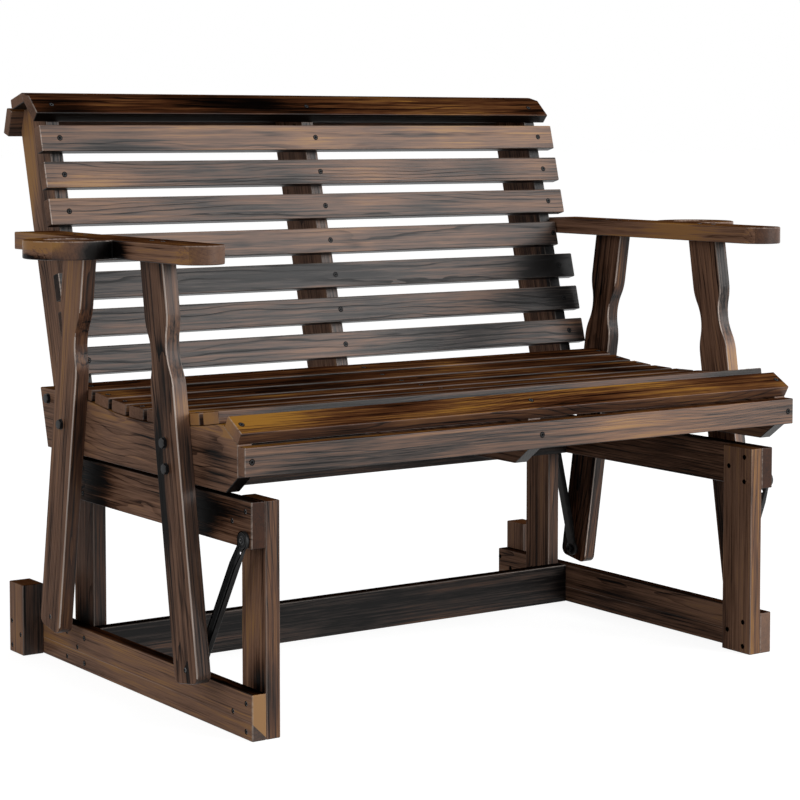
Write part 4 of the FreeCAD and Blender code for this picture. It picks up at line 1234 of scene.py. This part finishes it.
def screw_places():
    """Every wood screw of the seat: where its head is and which way that looks."""
    across, back_across = (sum(corner.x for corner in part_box(node)) / 2
                           for node in ("seat_support_right", "back_support_right"))
    places = []
    rows = [("seat_slat_%d" % i, (0, 1), across) for i in range(1, 9)]
    rows += [("nose_board", (-0.5, 0.866), across), ("front_apron", (-1, 0), across)]
    rows += [("back_slat_%d" % i, (-0.966, 0.26), back_across) for i in range(1, 8)]
    rows += [("cap_front", (-0.95, 0.31), back_across), ("cap_top", (-0.26, 0.966), back_across),
             ("cap_rear", (0.66, 0.75), back_across)]
    for node, face, reach in rows:
        loop = section(node)
        sides = []
        for p, q in zip(loop, loop[1:] + loop[:1]):
            run = Vector(q) - Vector(p)
            out = Vector((run.y, -run.x)).normalized()
            sides.append((out.dot(Vector(face)) + run.length, (Vector(p) + Vector(q)) / 2, out))
        _, middle, out = max(sides, key=lambda side: side[0])
        places += [((x, middle.x, middle.y), (0, out.x, out.y)) for x in (-reach, 0.0, reach)]
    for _, side in SIDES:
        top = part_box("armrest_" + side)[1].z
        for end, turn in (("front", 1), ("rear", -1)):
            low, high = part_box("arm_leg_%s_%s" % (end, side))
            tip = high.y if turn > 0 else low.y
            places += [(((low.x + high.x) / 2, tip - turn * back, top), (0, 0, 1))
                       for back in (16 * MM, 48 * MM)]
    return places


class BENCH_OT_screws(bpy.types.Operator):
    """Wood screws of the seat, the back and the stretchers"""
    bl_idname = "bench.screws"
    bl_label = "Wood screws"

    def execute(self, context):
        radius = context.scene.bench_hardware.screw_r
        set_out("wood_screws", screw_head(radius, SCREW_SIDES), screw_places(), "seat")
        low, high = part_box("lower_stretcher")
        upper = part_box("upper_stretcher")
        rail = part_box("bottom_rail_right")[1].x
        places = [((sign * rail, (low.y + high.y) / 2, bottom + height), (sign, 0, 0))
                  for sign, _ in SIDES for bottom in (low.z, upper[0].z)
                  for height in (11 * MM, 49 * MM)]
        set_out("stretcher_screws", screw_head(radius, SCREW_SIDES), places, "base")
        return {"FINISHED"}


def ends_of(node):
    """Where each solid of a row of bolts or nuts ends outwards, and which way its head looks."""
    places = []
    for low, high in solids_of(node):
        sign = 1 if low.x > 0 else -1
        middle = (low + high) / 2
        places.append((((high if sign > 0 else low).x, middle.y, middle.z), (sign, 0, 0)))
    return places


def bore_of(node, middle):
    """Radius of the hole through the solid that stands round that middle."""
    places = [vertex.co for vertex in frame["nodes"][node].data.vertices]
    near = [p for p in places if abs(p.x - middle.x) < 4 * MM]
    return min(math.hypot(p.y - middle.y, p.z - middle.z) for p in near)


def set_out_rows(rows, steps):
    """Copies each row's turned pattern to the outer ends of its CAD solids. A row is (piece,
    node, body, seed, profile in mm, its hexagons, its rims: lighter as rubbed coating and painted highlight,
    black as painted shade)."""
    for name, node, body, seed, profile, hexagon, rims in rows:
        set_out(name, lathe(in_mm(profile), steps, hexagon, rims), ends_of(node), body, [node], seed=seed)


def in_mm(profile):
    return [(radius * MM, height * MM) for radius, height in profile]


class BENCH_OT_bolts(bpy.types.Operator):
    """Frame bolts with their cap nuts, and the large bolts of the legs"""
    bl_idname = "bench.bolts"
    bl_label = "Bolts and nuts"

    def execute(self, context):
        hardware = context.scene.bench_hardware
        head = hardware.bolt_r / MM
        cap, wide = (flats / 2 / math.cos(math.pi / 6) / MM
                     for flats in (hardware.cap_flats, hardware.hex_flats))
        # Rims marked above 0 are lightened, rubbed coating and painted highlight together; sockets marked -1
        # are painted black as shade.
        set_out_rows((
            ("frame_bolt_heads", "frame_bolts", "base", 5, (
                (0, -1.3), (1.1, -1.3), (1.5, -0.15), (1.9, 0.0), (head * 0.78, -0.15), (head * 0.94, -0.6),
                (head, -1.2), (head, -2.2), (2.4, -2.2), (2.4, -43.0)),
             (1, 2), {0: -1.0, 1: -1.0, 3: 0.5, 4: 1.0}),
            ("cap_nuts", "frame_cap_nuts", "base", 8, (
                (cap * 0.94, 0), (cap, 0.3), (cap, 3.0), (cap * 0.93, 3.4), (3.7, 3.5), (3.6, 4.2),
                (3.1, 5.3), (2.2, 6.0), (1.1, 6.35), (0, 6.4)), (0, 1, 2, 3), {2: 0.6, 3: 0.3}),
            ("hex_bolt_heads", "hex_bolts", "seat", 9, (
                (7.9, -5.3), (8.1, -5.1), (8.1, -4.5), (wide, -4.45), (wide, -1.1), (wide * 0.985, -0.7),
                (wide * 0.88, -0.05), (wide * 0.80, 0)), (3, 4, 5), {4: 0.4, 5: 0.4}),
            ("hex_nuts_dressed", "hex_nuts", "seat", 10, (
                (wide * 0.9, 0), (wide, 0.7), (wide, 5.8), (wide * 0.9, 6.4), (4.6, 6.5), (4.0, 6.0),
                (3.8, 6.4), (0, 6.45)), (0, 1, 2, 3), {0: 0.4, 2: 0.4}),
        ), hardware.round_steps)
        return {"FINISHED"}


class BENCH_OT_links(bpy.types.Operator):
    """Swing links, their bearings and the pivot bolts"""
    bl_idname = "bench.links"
    bl_label = "Swing links"

    def execute(self, context):
        hardware = context.scene.bench_hardware
        for end in ("front", "rear"):
            for sign, side in SIDES:
                swing_link("%s_%s" % (end, side), sign, hardware)
        head = hardware.bolt_r / MM
        # Rims marked above 0 are lightened, rubbed coating and painted highlight together; sockets marked -1
        # are painted black as shade.
        set_out_rows((
            ("upper_pivot_heads", "upper_pivot_bolts", "base", 12, (
                (0, -1.2), (1.3, -1.2), (1.7, -0.15), (2.6, 0), (3.1, -0.2), (4.3, -0.7), (5.2, -1.3),
                (5.4, -1.6), (3.0, -1.65), (3.0, -28.0)), (1, 2), {0: -1.0, 1: -1.0, 2: 0.9, 6: 0.7}),
            ("lower_pivot_heads", "lower_pivot_bolts", "seat", 13, (
                (0, -1.0), (1.1, -1.0), (1.5, -0.15), (head * 0.74, 0), (head * 0.96, -0.5), (head, -1.5),
                (2.9, -1.5), (2.9, -32.0)), (1, 2), {0: -1.0, 1: -1.0, 3: 1.0}),
        ), hardware.round_steps)
        for node in ("upper_pivot_washers", "lower_pivot_nuts_and_washers"):
            mesh = frame["nodes"][node].data
            mesh.materials.clear()
            mesh.materials.append(material_of("black_hardware"))
        return {"FINISHED"}


def link_outline(hardware, reach):
    """Outline of a link seen along its pivots: (down, across) round both cups."""
    radius, half, fillet = hardware.cup_r, hardware.channel / 2, 8 * MM
    far = math.sqrt((radius + fillet) ** 2 - (half + fillet) ** 2)
    meet = math.atan2(half + fillet, far)
    side = []
    for step in range(15):
        angle = math.pi - (math.pi - meet) * step / 14
        side.append((radius * math.cos(angle), radius * math.sin(angle)))
    for step in range(1, 6):
        angle = math.pi + meet + (math.pi / 2 - meet) * step / 5
        side.append((far + fillet * math.cos(angle), half + fillet + fillet * math.sin(angle)))
    stations = 6
    for step in range(1, stations):
        side.append((far + (reach - 2 * far) * step / stations, half))
    side += [(reach - down, across) for down, across in reversed(side[:20])]
    return side[:-1] + [(down, -across) for down, across in reversed(side[1:])]


def swing_link(place, sign, hardware):
    """A link with the bearings in its two cups."""
    node, rings = "link_" + place, "bearings_" + place
    lower, upper = bearing_places(rings)
    lean = math.atan2(lower.y - upper.y, upper.z - lower.z)
    reach = math.hypot(lower.y - upper.y, upper.z - lower.z)
    inner, outer = sorted(abs(corner.x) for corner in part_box(node))
    pattern = part_object("link_pattern", link_shape(hardware, inner, outer, reach))
    points = point_mesh([(0, upper.y, upper.z)], lean=[lean * sign], turn=[0.0 if sign > 0 else math.pi])
    mesh = cooked(link_recipe(), points, {"Part": pattern}, "swing_" + node)
    bpy.data.objects.remove(pattern)
    sharpened(mesh, 40)
    coat_painted_shade(mesh, "black_steel")
    show("swing_" + node, mesh, node, "black_steel", [node])
    for middle, title in ((lower, "lower"), (upper, "upper")):
        bore = bore_of(rings, middle) / MM
        hub = max(6.0, bore + 0.7)
        # The outer and hub bevels are lightened as painted highlight; the groove walls between them are
        # painted darker as shade.
        ring = lathe(in_mm((
            (10.95, -4.5), (10.95, -0.3), (10.6, 0), (9.1, 0), (8.9, -0.5), (hub + 0.2, -0.6), (hub, -0.1),
            (hub - 0.3, 0), (bore + 0.3, 0), (bore, -0.3), (bore, -4.5))),
            hardware.round_steps + 8, (), {1: 0.4, 3: -0.6, 5: -0.6, 6: 0.8}, closed=True)
        face = ((middle.x + sign * BEARING_HALF, middle.y, middle.z), (sign, 0, 0))
        set_out("bearing_%s_%s" % (title, place), ring, [face], node, [rings], "bearing_steel")


def oval(middle, long, wide, sides):
    """Outline of a hole, clockwise, as (down, across) pairs round a place down a link."""
    turns = [math.tau * i / sides for i in range(sides)]
    return turned_ccw([(middle + long * math.cos(a), wide * math.sin(a)) for a in turns])[::-1]


def link_shape(hardware, inner, outer, reach):
    """A pressed swing link, open outwards: its web leans from one cup's floor to the other's."""
    blank = Blank(0)
    floor, radius, root, round_top = 1.0 * MM, 1.4 * MM, 0.8 * MM, 0.4 * MM
    deep, start = hardware.flange, hardware.cup_r
    outline = turned_ccw(link_outline(hardware, reach))
    wall = [1.5 * MM + 1.0 * MM * min(1.0, max(0.0, (min(down, reach - down) - start) / (8 * MM)))
            for down, _ in outline]
    holes = [oval(0.0, 8 * MM, 8 * MM, 24), oval(reach, 8 * MM, 8 * MM, 24),
             oval(21.5 * MM, 2.5 * MM, 3.2 * MM, 16)]
    rings = [(radius * inset, radius * height) for height, inset in map(bend, range(4))]
    rings += [(0.0, deep - round_top), (round_top, deep),
              ([thick - round_top for thick in wall], deep), (wall, deep - round_top)]
    rings += [([thick + root * inset for thick in wall], floor + root * height)
              for height, inset in map(bend, (3, 2, 1, 0))]
    walls = [blank.ring(inset_loop(outline, inset), height) for inset, height in rings]
    mark = blank.bm.faces.layers.float.new("wear")
    for level, (first, second) in enumerate(zip(walls, walls[1:])):
        blank.wall(first, second, level)
    for face in blank.bm.faces:
        # The rims are painted black as shade, and the flanges' inner walls a little lighter as painted
        # highlight.
        face[mark] = -1.0 if face[blank.kind] in (4, 5, 6) else 0.12 if face[blank.kind] > 6 else 0.0
    under, over = ([blank.ring(hole, height) for hole in holes] for height in (0.0, floor))
    for first, second in zip(under, over):
        blank.wall(first, second, 0)
    blank.cap([walls[0]] + under, 0)
    blank.cap([walls[-1]] + over, 0)

    bm = blank.bm
    rim_high = inner + hardware.cup_depth
    slope = (outer - hardware.cup_depth - inner) / (reach - 2 * start)
    ramp_end = start + LINK_RAMP
    for at in (start, ramp_end, start + (outer - deep - inner) / slope, reach - start):
        cut_across(bm, (0, at, 0), (0, 1, 0))
    for vertex in bm.verts:
        height, down, across = vertex.co
        web = inner + slope * min(max(0.0, down - start), reach - 2 * start)
        if down < start:
            rim = rim_high
        elif down < ramp_end:
            rim = rim_high + (inner + slope * LINK_RAMP + deep - rim_high) * (down - start) / LINK_RAMP
        else:
            rim = min(outer, web + deep)
        low = 2.0 * MM
        if height > low:
            height = low + (height - low) * (rim - web - low) / (deep - low)
        vertex.co = (web + height, across, -down)
    return bm


class BENCH_OT_stage(bpy.types.Operator):
    """Floor, backdrop, lamps and camera"""
    bl_idname = "bench.stage"
    bl_label = "Stage"

    def execute(self, context):
        stage = context.scene.bench_stage
        mesh = bpy.data.meshes.new("floor")
        reach = 60.0
        mesh.from_pydata([(-reach, -reach, 0), (reach, -reach, 0), (reach, reach, 0), (-reach, reach, 0)],
                         [], [(0, 1, 2, 3)])
        # The floor looks white to the camera and in gloss, apart from shadows on it.
        material, w, shader = new_material("floor")
        shown = w.shown()
        for key, value in (("Base Color", w.blend(shown, rgba(stage.floor), (0.3, 0.3, 0.3, 1))),
                           ("Roughness", 0.9), ("Specular IOR Level", 0.0),
                           ("Emission Color", (1, 1, 1, 1)), ("Emission Strength", shown * 0.90)):
            w.feed(shader, key, value)
        mesh.materials.append(material)
        link_object("floor", mesh)

        world = bpy.data.worlds.new("studio")
        world.use_nodes = True
        context.scene.world = world
        w = Wiring(world.node_tree)
        background = world.node_tree.nodes["Background"]
        w.feed(background, "Color", (1, 1, 1, 1))
        w.feed(background, "Strength", w.shown() * (1.0 - stage.sky) + stage.sky)

        for name, place, size, power in (
                ("key", (2.4, -3.4, 1.9), 2.4, stage.key), ("left_fill", (-3.6, -0.8, 1.6), 2.2, stage.fill),
                ("back_fill", (0.8, 3.4, 2.6), 2.4, stage.fill)):
            lamp = bpy.data.lights.new(name, "AREA")
            lamp.size = size
            lamp.energy = power
            holder = link_object(name, lamp)
            holder.location = place
            aim = Vector(BENCH_MIDDLE) - Vector(place)
            holder.rotation_euler = aim.to_track_quat("-Z", "Y").to_euler()

        camera = bpy.data.cameras.new("camera")
        camera.lens = stage.lens
        camera.shift_y = stage.shift
        camera.clip_end = 100.0
        holder = link_object("camera", camera)
        holder.location = stage.place
        holder.rotation_euler = (math.pi / 2 - stage.pitch, 0, stage.azimuth)
        context.scene.camera = holder
        context.scene.view_settings.view_transform = "Standard"
        return {"FINISHED"}


GROUPS = (("bench_boards", BenchBoards), ("bench_stain", BenchStain),
          ("bench_hardware", BenchHardware), ("bench_stage", BenchStage))
OPERATORS = (BENCH_OT_stage, BENCH_OT_seat_slats, BENCH_OT_back_slats, BENCH_OT_supports, BENCH_OT_arms,
             BENCH_OT_base, BENCH_OT_screws, BENCH_OT_bolts, BENCH_OT_links)


class BENCH_PT_panel(bpy.types.Panel):
    """Sizes, colours and pieces of the bench"""
    bl_label = "Glider bench"
    bl_idname = "BENCH_PT_panel"
    bl_space_type = "VIEW_3D"
    bl_region_type = "UI"
    bl_category = "Bench"

    def draw(self, context):
        for name, group in GROUPS:
            box = self.layout.box()
            for field in group.__annotations__:
                box.prop(getattr(context.scene, name), field)
        for operator in OPERATORS:
            self.layout.operator(operator.bl_idname)


def register():
    for name, group in GROUPS:
        bpy.utils.register_class(group)
        setattr(bpy.types.Scene, name, bpy.props.PointerProperty(type=group))
    for operator in OPERATORS:
        bpy.utils.register_class(operator)
    bpy.utils.register_class(BENCH_PT_panel)


def unregister():
    bpy.utils.unregister_class(BENCH_PT_panel)
    for operator in reversed(OPERATORS):
        bpy.utils.unregister_class(operator)
    for name, group in reversed(GROUPS):
        delattr(bpy.types.Scene, name)
        bpy.utils.unregister_class(group)


def main():
    register()
    for operator in OPERATORS:
        group, name = operator.bl_idname.split(".")
        getattr(getattr(bpy.ops, group), name)()


if __name__ == "__main__":
    main()
